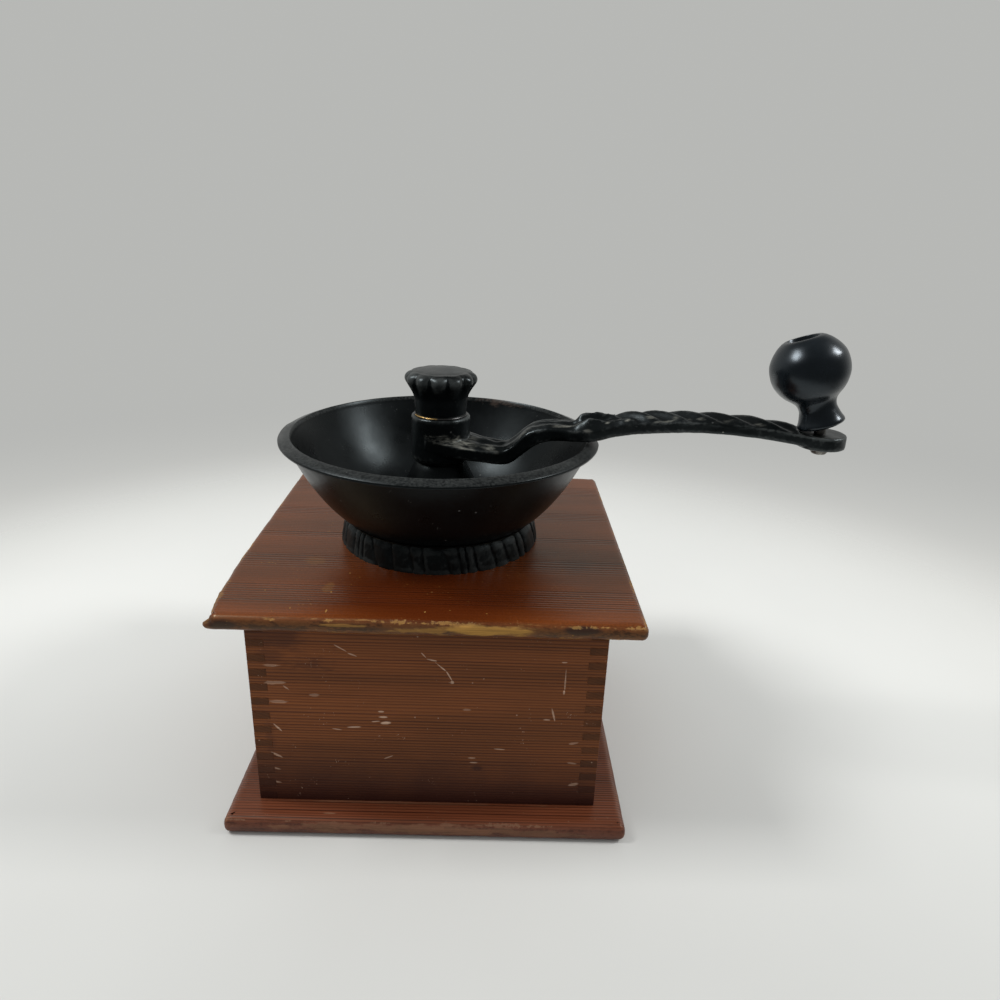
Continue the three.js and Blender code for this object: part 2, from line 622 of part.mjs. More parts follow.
// The square on the spindle, or the hole for it, with its corners turned down to the shaft
function squareBar(side, radius, bottom, top) {
  const bar = toSolid(blockAt(-side / 2, side / 2, -side / 2, side / 2, bottom, top));
  return toGeometry(bar.intersect(toSolid(rod(radius, bottom - fit.overrun, top + fit.overrun))));
}
const coneShares = [0, 0.14, 0.275, 0.42, 0.7, 1];
const nosePower = 0.85;
const ridgeShares = { start: 0.2, run: 0.25, fadeStart: 0.6, fadeDepth: 0.6, twist: 0.2 };
function coneCrest(height) {
  const grindLimit = grindTop - innerBurr.gap;
  if (height <= grindLimit) {
    return outerCrest(height) - innerBurr.gap;
  }
  const share = (height - grindLimit) / (coneTop - grindLimit);
  return mix(outerCrest(grindLimit) - innerBurr.gap, innerBurr.noseRadius, share ** nosePower);
}
const coneHeights = coneShares.map((share) => coneBottom + share * innerBurr.height);
const innerBody = formed(coneHeights, innerBurr.teeth * 4, (height, angle) => {
  const climb = (height - coneBottom) / innerBurr.height;
  const onset = Math.min(1, Math.max(0, (climb - ridgeShares.start) / ridgeShares.run));
  const fade = Math.max(0, (climb - ridgeShares.fadeStart) / (1 - ridgeShares.fadeStart));
  const coarse = onset * (1 - ridgeShares.fadeDepth * fade);
  const turn = angle / (2 * Math.PI) + ridgeShares.twist * climb;
  const fine = innerBurr.toothDepth * (1 - coarse) * sawtooth(innerBurr.teeth * turn);
  return coneCrest(height) - fine - innerBurr.ridgeDepth * coarse * sawtooth(innerBurr.ridges * turn);
});
const burrBore = squareBar(
  spindle.square + 2 * fit.running, spindle.radius + fit.running,
  coneBottom - fit.overrun, coneTop + fit.overrun,
);
addPiece('inner_burr', build([innerBody], [burrBore]).rotateZ(azimuth), finishes.burrIron);

// The spindle: journal, thread for the burr nut, square, collar, shaft, square, top thread
const spindleBottom = strapBottom - spindle.journalOverhang;
const nutBottom = nutTop - burrNut.height;
const spindleTop = capNutBottom + spindle.threadInNut;
const driveGap = adjust.rise + fit.running;
addPiece('spindle', build([
  rod(spindle.journalRadius, spindleBottom, nutBottom, sides.pin),
  rod(spindle.threadRadius, nutBottom, nutTop + fit.running, sides.pin),
  squareBar(spindle.square, spindle.radius, nutTop + fit.running, collarBottom),
  rod(spindle.collarRadius, collarBottom, collarBottom + spindle.collarHeight),
  rod(spindle.radius, collarBottom + spindle.collarHeight, hubBottom - driveGap),
  squareBar(spindle.square, spindle.radius, hubBottom - driveGap, hubTop - driveGap),
  rod(spindle.threadRadius, hubTop - driveGap, spindleTop, sides.pin),
]).rotateZ(azimuth), finishes.steel);
const hexagon = outline(around(6, 0, (angle) => [
  (burrNut.acrossFlats / Math.sqrt(3)) * Math.cos(angle),
  (burrNut.acrossFlats / Math.sqrt(3)) * Math.sin(angle),
]));
const hexBlock = new THREE.ExtrudeGeometry(hexagon, { depth: burrNut.height, bevelEnabled: false });
addPiece('burr_nut', build(
  [hexBlock.translate(0, 0, nutBottom)],
  [rod(spindle.threadRadius + fit.running, nutBottom - fit.overrun, nutTop + fit.overrun)],
), finishes.steel);

// The strap under the burrs, which carries the spindle's journal
const strapHole = rod(spindle.journalRadius + fit.running, strapBottom - fit.overrun, strapTop + fit.overrun);
const strapInside = strap.reach - strap.leg;
const strapOutline = outline([
  [-strap.reach, strapBottom], [strap.reach, strapBottom], [strap.reach, strapTop], [strapInside, strapTop],
  [strapInside - strap.bar / 2, strapBottom + strap.bar],
  [-strapInside + strap.bar / 2, strapBottom + strap.bar],
  [-strapInside, strapTop], [-strap.reach, strapTop],
]);
const strapCutters = [strapHole, ...strapScrewPlaces.map(([x, y]) => rod(
  strapScrew.shankRadius + fit.running, strapBottom - fit.overrun, strapTop + fit.overrun, sides.hole,
).translate(x, y, 0))];
const strapBody = panelXZ(strapOutline, -strap.width / 2, strap.width / 2);
addPiece('lower_strap', build([strapBody], strapCutters), finishes.castIron);
strapScrewPlaces.forEach(([x, y], i) => {
  const screw = roundHeadScrew(strapScrew, strap.drop + strapScrew.bite).rotateX(Math.PI);
  addPiece(`strap_screw_${i + 1}`, screw.translate(x, y, strapBottom - fit.film), finishes.steel);
});

// The crank arm as sections along its reach. Each row holds, as shares: how far along the
// reach, the underside's height in the rise, the side, the crown and the half width.
const armShares = [
  [-0.026, 0.225, 1.12, 0.6, 1.8], [0, 0.185, 1.14, 0.8, 1.87], [0.063, 0.1, 1.1, 1.1, 1.74],
  [0.121, 0.04, 1.08, 1.07, 1.37], [0.178, 0, 1.16, 0.95, 1.14], [0.206, 0.05, 1.4, 0.95, 1.09],
  [0.243, 0.283, 1.58, 0.98, 1.06], [0.27, 0.45, 1.32, 0.9, 1.04], [0.3, 0.55, 1.12, 0.8, 1.04],
  [0.34, 0.595, 0.98, 0.76, 1.07], [0.37, 0.604, 0.94, 0.95, 1.12], [0.386, 0.608, 0.94, 1.9, 1.15],
  [0.402, 0.613, 0.95, 2.3, 1.16], [0.424, 0.634, 0.97, 2.1, 1.12], [0.445, 0.67, 0.97, 1.65, 1.07],
  [0.47, 0.735, 0.92, 1.4, 1.03], [0.521, 0.822, 0.94, 1.38, 1], [0.571, 0.88, 0.92, 1.26, 1],
  [0.648, 0.943, 0.9, 1.12, 1], [0.724, 0.973, 0.87, 1.05, 1], [0.825, 0.957, 0.89, 0.99, 1],
  [0.902, 0.91, 0.87, 0.87, 1], [0.952, 0.866, 0.92, 0.65, 1.08], [1, 0.82, 1.04, 0.2, 1.3],
];
// Where the rope's grooves cross the arm's middle, as shares of its reach
const grooveShares = [0.478, 0.551, 0.62, 0.7, 0.777, 0.87, 0.955, 1.04, 1.13];
function armRow(share) {
  let k = 0;
  while (k + 2 < armShares.length && armShares[k + 1][0] < share) {
    k += 1;
  }
  const [before, from, to, after] = [k - 1, k, k + 1, k + 2].map(
    (i) => armShares[Math.min(armShares.length - 1, Math.max(0, i))],
  );
  const t = (share - from[0]) / (to[0] - from[0]);
  return from.map((value, column) => {
    const pull0 = ((to[column] - before[column]) / (to[0] - before[0])) * (to[0] - from[0]);
    const pull1 = ((after[column] - value) / (after[0] - from[0])) * (to[0] - from[0]);
    const [t2, t3] = [t * t, t * t * t];
    return value * (2 * t3 - 3 * t2 + 1) + pull0 * (t3 - 2 * t2 + t)
      + to[column] * (3 * t2 - 2 * t3) + pull1 * (t3 - t2);
  });
}
const armLow = hubBottom + arm.lowest;
const bossBottom = armLow + arm.rise * armShares[armShares.length - 1][1];
const bossTop = bossBottom + boss.height;
const acrossShares = [0.8, 0.42, 0, -0.42, -0.8];
const crownPowers = { across: 2.6, lobe: 0.6, lean: 2 };
function ropeTop(share, across) {
  const place = share + arm.slantShare * across;
  const next = grooveShares.findIndex((groove) => place < groove);
  if (next < 1) {
    return 1 - arm.veinShare * (1 - Math.cos(3 * Math.PI * across));
  }
  const strand = (place - grooveShares[next - 1]) / (grooveShares[next] - grooveShares[next - 1]);
  const lobe = Math.sin(Math.PI * strand ** crownPowers.lean);
  return 1 - arm.grooveShare * (1 - lobe ** crownPowers.lobe);
}
function armSection(share) {
  const [, underShare, sideShare, crownShare, widthShare] = armRow(share);
  const along = share * arm.reach;
  const under = armLow + arm.rise * underShare;
  const edge = under + arm.side * sideShare;
  const half = arm.halfWidth * widthShare;
  const chamfer = arm.underChamfer;
  const crown = acrossShares.map((across) => [
    along, half * across,
    edge + arm.crown * crownShare * (1 - Math.abs(across) ** crownPowers.across) * ropeTop(share, across),
  ]);
  return [
    [along, -half + chamfer, under], [along, half - chamfer, under], [along, half, under + chamfer],
    [along, half, edge], ...crown, [along, -half, edge], [along, -half, under + chamfer],
  ];
}
const armSteps = Math.round((arm.reach + arm.tail) / arm.step);
const armSections = Array.from({ length: armSteps + 1 }, (_, i) => (
  armSection(mix(-arm.tail, arm.reach, i / armSteps) / arm.reach)
));
const hubBody = turned([
  [0, hubBottom], [hub.footRadius, hubBottom], [hub.radius, hubBottom + hub.footChamfer],
  [hub.radius, hubTop - hub.topChamfer], [hub.radius - hub.topChamfer, hubTop], [0, hubTop],
], sides.hub);
const bossBody = turned([
  [0, bossBottom], [boss.radius - boss.chamfer, bossBottom], [boss.radius, bossBottom + boss.chamfer],
  [boss.radius, bossTop - boss.chamfer], [boss.radius - boss.chamfer, bossTop], [0, bossTop],
], sides.boss).translate(arm.reach, 0, 0);
const driveHole = squareBar(
  spindle.square + 2 * fit.running, spindle.radius + fit.running,
  hubBottom - fit.overrun, hubTop + fit.overrun,
);
const pinReach = arm.reach - pin.inset;
const pinHole = rod(
  pin.radius + fit.running, bossBottom - fit.overrun, bossTop + arm.crown + fit.overrun, sides.pull,
).translate(pinReach, 0, 0);
const bossSpace = rod(boss.radius + boss.chamfer, bossTop, bossTop + arm.crown, sides.boss)
  .translate(arm.reach, 0, 0);
addPiece('crank_arm', build([skin(armSections), hubBody, bossBody], [driveHole, pinHole, bossSpace])
  .rotateZ(azimuth), finishes.crankIron);
addPiece('crank_washer', turned([
  [spindle.threadRadius + fit.running, 0], [washer.radius, 0], [washer.radius, washer.thickness],
  [spindle.threadRadius + fit.running, washer.thickness], [spindle.threadRadius + fit.running, 0],
], sides.shaft).translate(0, 0, washerBottom), finishes.brass);

// The scalloped cap nut: height share, radius between neck and rim, depth of the lobes
const nutShares = [
  [0, 0, 0], [0.3, 0.1, 0], [0.42, 0.18, 0.05], [0.54, 0.42, 0.3], [0.66, 0.76, 0.75],
  [0.77, 1, 1], [0.87, 0.95, 0.95], [0.95, 0.62, 0.6], [1, 0, 0],
];
const rimShare = 0.77;
const petalPower = 0.7;
const nutHeights = nutShares.map(([share]) => share * capNut.height);
const nutHead = formed(nutHeights, capNut.lobes * 5, (height, angle) => {
  const [share, spread, lobe] = nutShares[nutHeights.indexOf(height)];
  const overRim = Math.max(0, share - rimShare) / (1 - rimShare);
  const petal = 1 - Math.abs(Math.cos((capNut.lobes * angle) / 2)) ** petalPower;
  const inner = mix(capNut.neckRadius, capNut.topRadius, overRim);
  return mix(inner, capNut.radius, spread) - capNut.lobeDepth * lobe * petal;
});
const nutBore = rod(capNut.boreRadius, -fit.overrun, capNut.boreDepth);
addPiece('cap_nut', build([nutHead], [nutBore]).translate(0, 0, capNutBottom), finishes.crankIron);

// The knob and the pin it turns on, drawn about the pin's place and carried round to the arm.
// Height and radius shares follow the turned outline from the foot to the well's mouth.
const knobShares = [
  [0, 0.36], [0.012, 0.47], [0.026, 0.555], [0.043, 0.597], [0.068, 0.59], [0.105, 0.55], [0.159, 0.507],
  [0.229, 0.473], [0.308, 0.532], [0.399, 0.754], [0.465, 0.87], [0.551, 0.965], [0.653, 1],
  [0.774, 0.965], [0.857, 0.865], [0.939, 0.7], [0.982, 0.57], [1, 0.49],
];
const knobProfile = [
  [knob.boreRadius, 0], ...knobShares.map(([z, r]) => [r * knob.radius, z * knob.height]),
  [knob.wellRadius, knob.height - fit.running], [knob.wellRadius, knob.webThickness],
  [knob.boreRadius, knob.webThickness], [knob.boreRadius, 0],
];
const lean = THREE.MathUtils.degToRad(knob.lean);
const leanTowards = THREE.MathUtils.degToRad(knob.leanTowards);
const knobAxis = new THREE.Vector3(
  Math.sin(lean) * Math.cos(leanTowards), Math.sin(lean) * Math.sin(leanTowards), Math.cos(lean),
);
const footDrop = Math.max(...knobShares.map(([rise, width]) => (
  width * knob.radius * Math.sin(lean) - rise * knob.height * Math.cos(lean)
)));
const pivotHeight = bossTop + fit.running + footDrop + knob.pivotRise * Math.cos(lean);
const pivot = new THREE.Vector3(pinReach * Math.cos(azimuth), pinReach * Math.sin(azimuth), pivotHeight);
const knobFoot = pivot.clone().addScaledVector(knobAxis, -knob.pivotRise);
const knobTurn = new THREE.Quaternion().setFromUnitVectors(new THREE.Vector3(0, 0, 1), knobAxis);
addPiece('knob', turned(knobProfile, sides.knob).applyQuaternion(knobTurn)
  .translate(knobFoot.x, knobFoot.y, knobFoot.z), finishes.knobPaint);

const webRise = knob.webThickness - knob.pivotRise;
const headSpread = webRise * Math.sin(lean) + pin.headRadius;
const headBottom = pivotHeight + webRise * Math.cos(lean) + headSpread * Math.tan(lean) + fit.running;
const headTop = headBottom + pin.headHeight;
const tailTop = bossBottom - fit.film;
const tailShares = [[0, 1], [0.8, 1], [1, 0.6], [1, 0], [0, 0]];
const pinTail = turned(tailShares.map(([out, down]) => [
  out * pin.tailRadius, tailTop - down * pin.tailHeight,
]), sides.pin).translate(pin.tailShift, 0, 0);
const pinBody = turned([
  [0, tailTop - pin.tailHeight / 2], [pin.radius, tailTop - pin.tailHeight / 2], [pin.radius, headBottom],
  [pin.headRadius, headBottom], [pin.headRadius, mix(headBottom, headTop, headTopShare)],
  [pin.headRadius * headTopShare, headTop], [0, headTop],
], sides.pin);
addPiece('knob_pin', build([pinBody, pinTail]).translate(pinReach, 0, 0).rotateZ(azimuth), finishes.steel);

export default assembly;
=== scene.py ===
"""Wooden box coffee grinder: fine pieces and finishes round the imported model.

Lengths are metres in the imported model's frame: +Z is up, the plain face of the case looks
along -Y, the drawer opens along +Y and the crank at rest points near +X.
"""
import json
import math

import bmesh
import bpy
from bpy.props import FloatProperty, FloatVectorProperty, IntProperty, PointerProperty
from mathutils import Matrix, Vector, noise

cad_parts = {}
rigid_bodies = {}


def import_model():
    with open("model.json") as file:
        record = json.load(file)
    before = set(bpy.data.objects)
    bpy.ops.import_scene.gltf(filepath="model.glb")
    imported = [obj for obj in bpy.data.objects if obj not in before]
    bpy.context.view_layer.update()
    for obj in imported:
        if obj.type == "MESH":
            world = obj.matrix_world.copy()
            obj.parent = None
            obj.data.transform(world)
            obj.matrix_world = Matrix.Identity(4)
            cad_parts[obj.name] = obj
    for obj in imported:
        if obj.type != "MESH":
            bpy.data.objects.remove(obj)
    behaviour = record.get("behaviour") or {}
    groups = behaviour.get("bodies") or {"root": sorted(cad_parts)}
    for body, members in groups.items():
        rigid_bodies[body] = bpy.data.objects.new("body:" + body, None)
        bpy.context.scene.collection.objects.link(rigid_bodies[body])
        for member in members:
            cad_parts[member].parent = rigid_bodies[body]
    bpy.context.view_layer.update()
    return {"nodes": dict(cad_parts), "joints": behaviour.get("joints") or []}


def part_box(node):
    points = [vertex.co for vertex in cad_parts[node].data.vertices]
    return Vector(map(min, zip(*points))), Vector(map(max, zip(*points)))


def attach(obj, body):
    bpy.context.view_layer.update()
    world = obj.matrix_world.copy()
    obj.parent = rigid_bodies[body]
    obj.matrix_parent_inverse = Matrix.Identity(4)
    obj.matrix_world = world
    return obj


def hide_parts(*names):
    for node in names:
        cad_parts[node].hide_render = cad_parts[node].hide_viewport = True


bl_info = {
    "name": "Wooden Box Coffee Grinder",
    "version": (1, 0, 0),
    "blender": (4, 5, 0),
    "location": "3D View > Sidebar > Grinder",
    "description": "Builds the pieces and finishes of a hand-cranked coffee grinder",
    "category": "Object",
}

for leftover in list(bpy.data.objects):
    bpy.data.objects.remove(leftover)
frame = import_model()

MM = 0.001
FULL_TURN = 2 * math.pi
ORIGIN = Vector((0, 0, 0))
UP = Vector((0, 0, 1))
SMOOTH_ANGLE = 35
RELIEF = "relief"


# Settings


def length(label, description, default):
    """A length property shown in the scene's units."""
    return FloatProperty(
        name=label, description=description, default=default, min=0.0,
        precision=5, unit="LENGTH", subtype="DISTANCE")


def colour(label, description, default):
    """A linear colour property."""
    return FloatVectorProperty(
        name=label, description=description, default=default, size=3,
        min=0.0, max=1.0, subtype="COLOR")


def count(label, description, default, low, high):
    """A whole number property."""
    return IntProperty(name=label, description=description, default=default, min=low, max=high)


def strength(label, description, default, kind="NONE"):
    """A number property for a strength or, with its kind, a power."""
    return FloatProperty(
        name=label, description=description, default=default, min=0.0, unit=kind, subtype=kind)


class CaseSettings(bpy.types.PropertyGroup):
    """Sizes and colours of the wooden case and its drawer."""

    board_round: length("Edge Round", "Rounding of the base board's edges", 3.3 * MM)
    deck_round: length("Deck Round", "Rounding of the deck board's edges", 2.6 * MM)
    chip_depth: length("Chip Depth", "How deep the broken corner of the deck goes", 3.4 * MM)
    joint_groove: length("Joint Groove", "Width of the groove along each finger joint", 0.09 * MM)
    ring_pitch: length("Ring Pitch", "Distance between the grain's dark lines", 1.4 * MM)
    wall_colour: colour("Wall Wood", "Varnished wood of the case's walls", (0.19, 0.058, 0.0165))
    wall_dark: colour("Wall Dark Wood", "Dark lines in the walls' grain", (0.075, 0.02, 0.0085))
    deck_colour: colour("Deck Wood", "Varnished wood of the deck board", (0.13, 0.029, 0.0042))
    deck_dark: colour("Deck Dark Wood", "Dark lines in the deck's grain", (0.03, 0.0055, 0.0014))
    deck_worn: colour("Deck Worn Wood", "Where the deck's varnish has gone", (0.52, 0.27, 0.06))
    base_colour: colour("Base Wood", "Varnished wood of the base board", (0.15, 0.042, 0.0175))
    base_dark: colour("Base Dark Wood", "Dark lines in the base board's grain", (0.04, 0.009, 0.004))
    base_worn: colour("Base Worn Wood", "Where the base board's varnish has gone", (0.3, 0.155, 0.085))
    scuff_colour: colour("Scuffs", "Pale strokes and scratches on the walls", (0.72, 0.48, 0.34))
    drawer_colour: colour("Drawer Wood", "Bare wood inside the drawer", (0.33, 0.19, 0.09))


class IronSettings(bpy.types.PropertyGroup):
    """Sizes and colours of the bowl, its ring and the bearing under the crank."""

    lip_step: length("Lip Step", "How far the lip steps out along its front half", 0.5 * MM)
    pleats: count("Pleats", "Folds round the foot ring", 42, 6, 120)
    pleat_depth: length("Pleat Depth", "Depth of the foot ring's folds", 1.5 * MM)
    bowl_colour: colour("Bowl Paint", "Matt black paint of the bowl", (0.0026, 0.003, 0.0032))
    burr_colour: colour("Bare Iron", "Unpainted iron of the burrs", (0.09, 0.088, 0.082))


class CrankSettings(bpy.types.PropertyGroup):
    """Sizes and colours of the crank, its nut and its knob."""

    reach: length("Reach", "From the spindle's axis to the boss", 158.6 * MM)
    voxel: length("Casting Grid", "Grid on which hub, arm and boss grow into one casting", 0.45 * MM)
    lobes: count("Nut Lobes", "Lobes round the cap nut", 12, 3, 40)
    crank_colour: colour("Crank Paint", "Satin black paint of the crank", (0.0022, 0.0028, 0.003))
    worn_colour: colour("Worn Paint", "Grey where the crank's paint is rubbed", (0.075, 0.08, 0.077))
    knob_colour: colour("Knob Paint", "Gloss black paint of the knob", (0.003, 0.0045, 0.006))
    steel_colour: colour("Steel", "Dull steel of the pin and screws", (0.29, 0.28, 0.26))
    brass_colour: colour("Brass", "Brass of the washer, bush and pull", (0.52, 0.34, 0.13))


class StageSettings(bpy.types.PropertyGroup):
    """Floor, lamps and surroundings."""

    floor_colour: colour("Floor", "Colour of the floor near the grinder", (0.71, 0.71, 0.68))
    far_colour: colour("Far Floor", "Colour of the floor where it fades away", (0.745, 0.745, 0.71))
    wall_colour: colour("Backdrop", "Colour of the backdrop above the horizon", (0.475, 0.48, 0.465))
    surround: strength("Surround", "Strength of the light from all round", 0.45)
    overhead: strength("Overhead", "How much stronger it is straight above", 0.15)
    key_watts: strength("Key Lamp", "Power of the soft lamp on the left", 8.2, "POWER")
    fill_watts: strength("Second Lamp", "Power of the soft lamp on the right", 6.4, "POWER")


# Shapes


def mm(*values):
    """A point or size given in millimetres."""
    return tuple(value * MM for value in values)


def outline(bottom, *points):
    """A turned outline above a height, from (radius, height) points in millimetres."""
    return [(radius * MM, bottom + height * MM) for radius, height in points]


def mix(first, second, share):
    """The value a share of the way from the first to the second."""
    return first + (second - first) * share


def ease(value, low, high):
    """A smooth step from 0 at low to 1 at high."""
    share = min(1.0, max(0.0, (value - low) / (high - low)))
    return share * share * (3 - 2 * share)


def through(rows, at):
    """Values at a place along rows of [place, value, ...], on a smooth curve through them."""
    last = len(rows) - 1
    k = 0
    while k < last - 1 and rows[k + 1][0] < at:
        k += 1
    before, start, end, after = (rows[min(last, max(0, i))] for i in (k - 1, k, k + 1, k + 2))
    span = end[0] - start[0]
    t = min(1.0, max(0.0, (at - start[0]) / span))
    values = []
    for col in range(1, len(start)):
        leave = (end[col] - before[col]) / (end[0] - before[0]) * span
        arrive = (after[col] - start[col]) / (after[0] - start[0]) * span
        values.append(
            start[col] * (2 * t**3 - 3 * t**2 + 1) + leave * (t**3 - 2 * t**2 + t)
            + end[col] * (3 * t**2 - 2 * t**3) + arrive * (t**3 - t**2))
    return values


def wander(place, scale, seed=0.0):
    """Smooth noise from -1 to 1 at a place, with features about 1/scale apart."""
    return noise.noise(Vector(place) * scale + Vector((seed, 2.7 * seed, -1.3 * seed)))


def cleaned(bm):
    """Merges doubles and turns every face outwards."""
    bmesh.ops.remove_doubles(bm, verts=bm.verts, dist=0.002 * MM)
    bmesh.ops.recalc_face_normals(bm, faces=bm.faces)
    return bm


def shifted(bm, *offset):
    """Moves a whole body."""
    bmesh.ops.translate(bm, vec=offset, verts=bm.verts)


def turned(bm, matrix):
    """Turns a whole body about the origin."""
    bmesh.ops.rotate(bm, cent=ORIGIN, matrix=matrix, verts=bm.verts)


def sliced(bm, axis, at, nearness):
    """Cuts a body's faces at a place along an axis, and keeps both sides."""
    normal = Vector((0, 0, 0))
    normal[axis] = 1
    bmesh.ops.bisect_plane(
        bm, geom=bm.verts[:] + bm.edges[:] + bm.faces[:], dist=nearness,
        plane_co=normal * at, plane_no=normal)


def bevelled(bm, edges, width, segments, clamp_overlap=False):
    """Rounds or breaks edges."""
    bmesh.ops.bevel(
        bm, geom=edges, offset=width, segments=segments, profile=0.5, affect="EDGES",
        clamp_overlap=clamp_overlap, material=-1)


def spun(profile, steps):
    """A turned body about +Z through (radius, height) points, with its poles closed."""
    bm = bmesh.new()
    verts = [bm.verts.new((radius, 0, height)) for radius, height in profile]
    edges = [bm.edges.new(pair) for pair in zip(verts, verts[1:])]
    bmesh.ops.spin(
        bm, geom=verts + edges, cent=ORIGIN, axis=UP, angle=FULL_TURN, steps=steps,
        use_merge=True, use_duplicate=False)
    return cleaned(bm)


def ringed(rings, capped):
    """A body through closed rings of points, each drawn out of the one before.

    It is capped at both ends or, as a ring-shaped body, joined from the last ring to the first.
    """
    bm = bmesh.new()
    ring = bmesh.ops.create_circle(bm, segments=len(rings[0]), radius=1)["verts"]
    for vert, point in zip(ring, rings[0]):
        vert.co = point
    first = bm.edges[:]
    if capped:
        bmesh.ops.edgeloop_fill(bm, edges=first)
    edges = first
    for points in rings[1:]:
        made = bmesh.ops.extrude_edge_only(bm, edges=edges)["geom"]
        fresh = {item for item in made if isinstance(item, bmesh.types.BMVert)}
        ring = [next(e.other_vert(v) for e in v.link_edges if e.other_vert(v) in fresh) for v in ring]
        for vert, point in zip(ring, points):
            vert.co = point
        edges = [item for item in made if isinstance(item, bmesh.types.BMEdge)
                 and item.verts[0] in fresh and item.verts[1] in fresh]
    if capped:
        bmesh.ops.edgeloop_fill(bm, edges=edges)
        return cleaned(bm)
    bmesh.ops.bridge_loops(bm, edges=edges + first)
    bmesh.ops.recalc_face_normals(bm, faces=bm.faces)
    return bm


def round_rings(heights, steps, radius_at):
    """Rings about +Z whose radius depends on the height and the angle."""
    turns = [FULL_TURN * i / steps for i in range(steps)]
    rings = []
    for height in heights:
        radii = [radius_at(height, turn) for turn in turns]
        rings.append([
            (radius * math.cos(turn), radius * math.sin(turn), height)
            for radius, turn in zip(radii, turns)])
    return rings


def slab(low, high, corner, round_over, cell):
    """A board lying flat: a cube with its corners and edges rounded, cut into small cells."""
    size = (2 * high.x, 2 * high.y, high.z - low.z)
    bm = bmesh.new()
    bmesh.ops.create_cube(bm, size=1)
    bmesh.ops.scale(bm, vec=size, verts=bm.verts)
    shifted(bm, 0, 0, (high.z + low.z) / 2)
    upright = [e for e in bm.edges if abs(e.verts[0].co.z - e.verts[1].co.z) > cell / 2]
    bevelled(bm, upright, corner, 4)
    level = [e for e in bm.edges if abs(e.verts[0].co.z - e.verts[1].co.z) < cell / 100]
    bevelled(bm, level, round_over, 5)
    for axis in (0, 1):
        cuts = int(size[axis] / cell)
        for i in range(1, cuts):
            sliced(bm, axis, size[axis] * (i / cuts - 0.5), 0.001 * MM)
    return cleaned(bm)


def tidied(node, bevel_width, segments=2):
    """A merged copy of a CAD node, with flat faces joined and its sharp edges broken."""
    bm = bmesh.new()
    bm.from_mesh(frame["nodes"][node].data)
    bmesh.ops.remove_doubles(bm, verts=bm.verts, dist=0.002 * MM)
    bmesh.ops.dissolve_limit(
        bm, angle_limit=math.radians(0.5), verts=bm.verts, edges=bm.edges, delimit=set())
    sharp = [e for e in bm.edges
             if len(e.link_faces) == 2 and e.calc_face_angle() > math.radians(30)]
    bevelled(bm, sharp, bevel_width, segments, clamp_overlap=True)
    return bm


def smooth_by_angle(bm, angle):
    """Smooth faces, with the edges that turn by more than the angle kept sharp."""
    for face in bm.faces:
        face.smooth = True
    for edge in bm.edges:
        edge.smooth = len(edge.link_faces) == 2 and edge.calc_face_angle() <= math.radians(angle)


def meshed(bm, name):
    """A new mesh of a bmesh's faces. The bmesh is freed."""
    mesh = bpy.data.meshes.new(name)
    bm.to_mesh(mesh)
    bm.free()
    return mesh


def placed(name, data):
    """A new object in the scene, at the origin."""
    made = bpy.data.objects.new(name, data)
    bpy.context.scene.collection.objects.link(made)
    return made


def piece(bm, name, body, finish_name, replaces=(), angle=SMOOTH_ANGLE):
    """Turns a bmesh into a finished object that rides on a body."""
    smooth_by_angle(bm, angle)
    made = placed(name, meshed(bm, name))
    made.data.materials.append(finish(finish_name))
    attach(made, body)
    if replaces:
        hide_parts(*replaces)
    return made


def repaint(nodes, finish_name):
    """Gives CAD nodes their finish."""
    for node in nodes:
        shown = frame["nodes"][node]
        shown.data.materials.clear()
        shown.data.materials.append(finish(finish_name))


def apply_modifiers(made):
    """Bakes an object's modifiers into its mesh and shades it again by angle."""
    bpy.context.view_layer.update()
    graph = bpy.context.evaluated_depsgraph_get()
    baked = bpy.data.meshes.new_from_object(made.evaluated_get(graph))
    made.modifiers.clear()
    made.data = baked
    bm = bmesh.new()
    bm.from_mesh(baked)
    smooth_by_angle(bm, SMOOTH_ANGLE)
    bm.to_mesh(baked)
    bm.free()


def with_relief(bm, rounds, scale):
    """Stores on each vertex how far it stands out from its surroundings, from 0 to 1."""
    layer = bm.verts.layers.float.new(RELIEF)
    bm.normal_update()
    bm.verts.ensure_lookup_table()
    links = [[e.other_vert(v).index for e in v.link_edges] for v in bm.verts]
    places = [v.co.copy() for v in bm.verts]
    for _ in range(rounds):
        places = [
            sum((places[j] for j in near), Vector((0, 0, 0))) / len(near) if near else place
            for place, near in zip(places, links)]
    for vert, place in zip(bm.verts, places):
        stands = (vert.co - place).dot(vert.normal)
        vert[layer] = min(1.0, max(0.0, 0.5 + 0.5 * stands / scale))


# Node trees


class Value:
    """A node's output. A sum, product or other result of it is made as a node of its own."""

    def __init__(self, net, socket):
        self.net = net
        self.socket = socket

    def __add__(self, other):
        return self.net.maths("ADD", self, other)

    def __sub__(self, other):
        return self.net.maths("SUBTRACT", self, other)

    def __rsub__(self, other):
        return self.net.maths("SUBTRACT", other, self)

    def __mul__(self, other):
        return self.net.maths("MULTIPLY", self, other)

    def __truediv__(self, other):
        return self.net.maths("DIVIDE", self, other)

    def __abs__(self):
        return self.net.maths("ABSOLUTE", self)


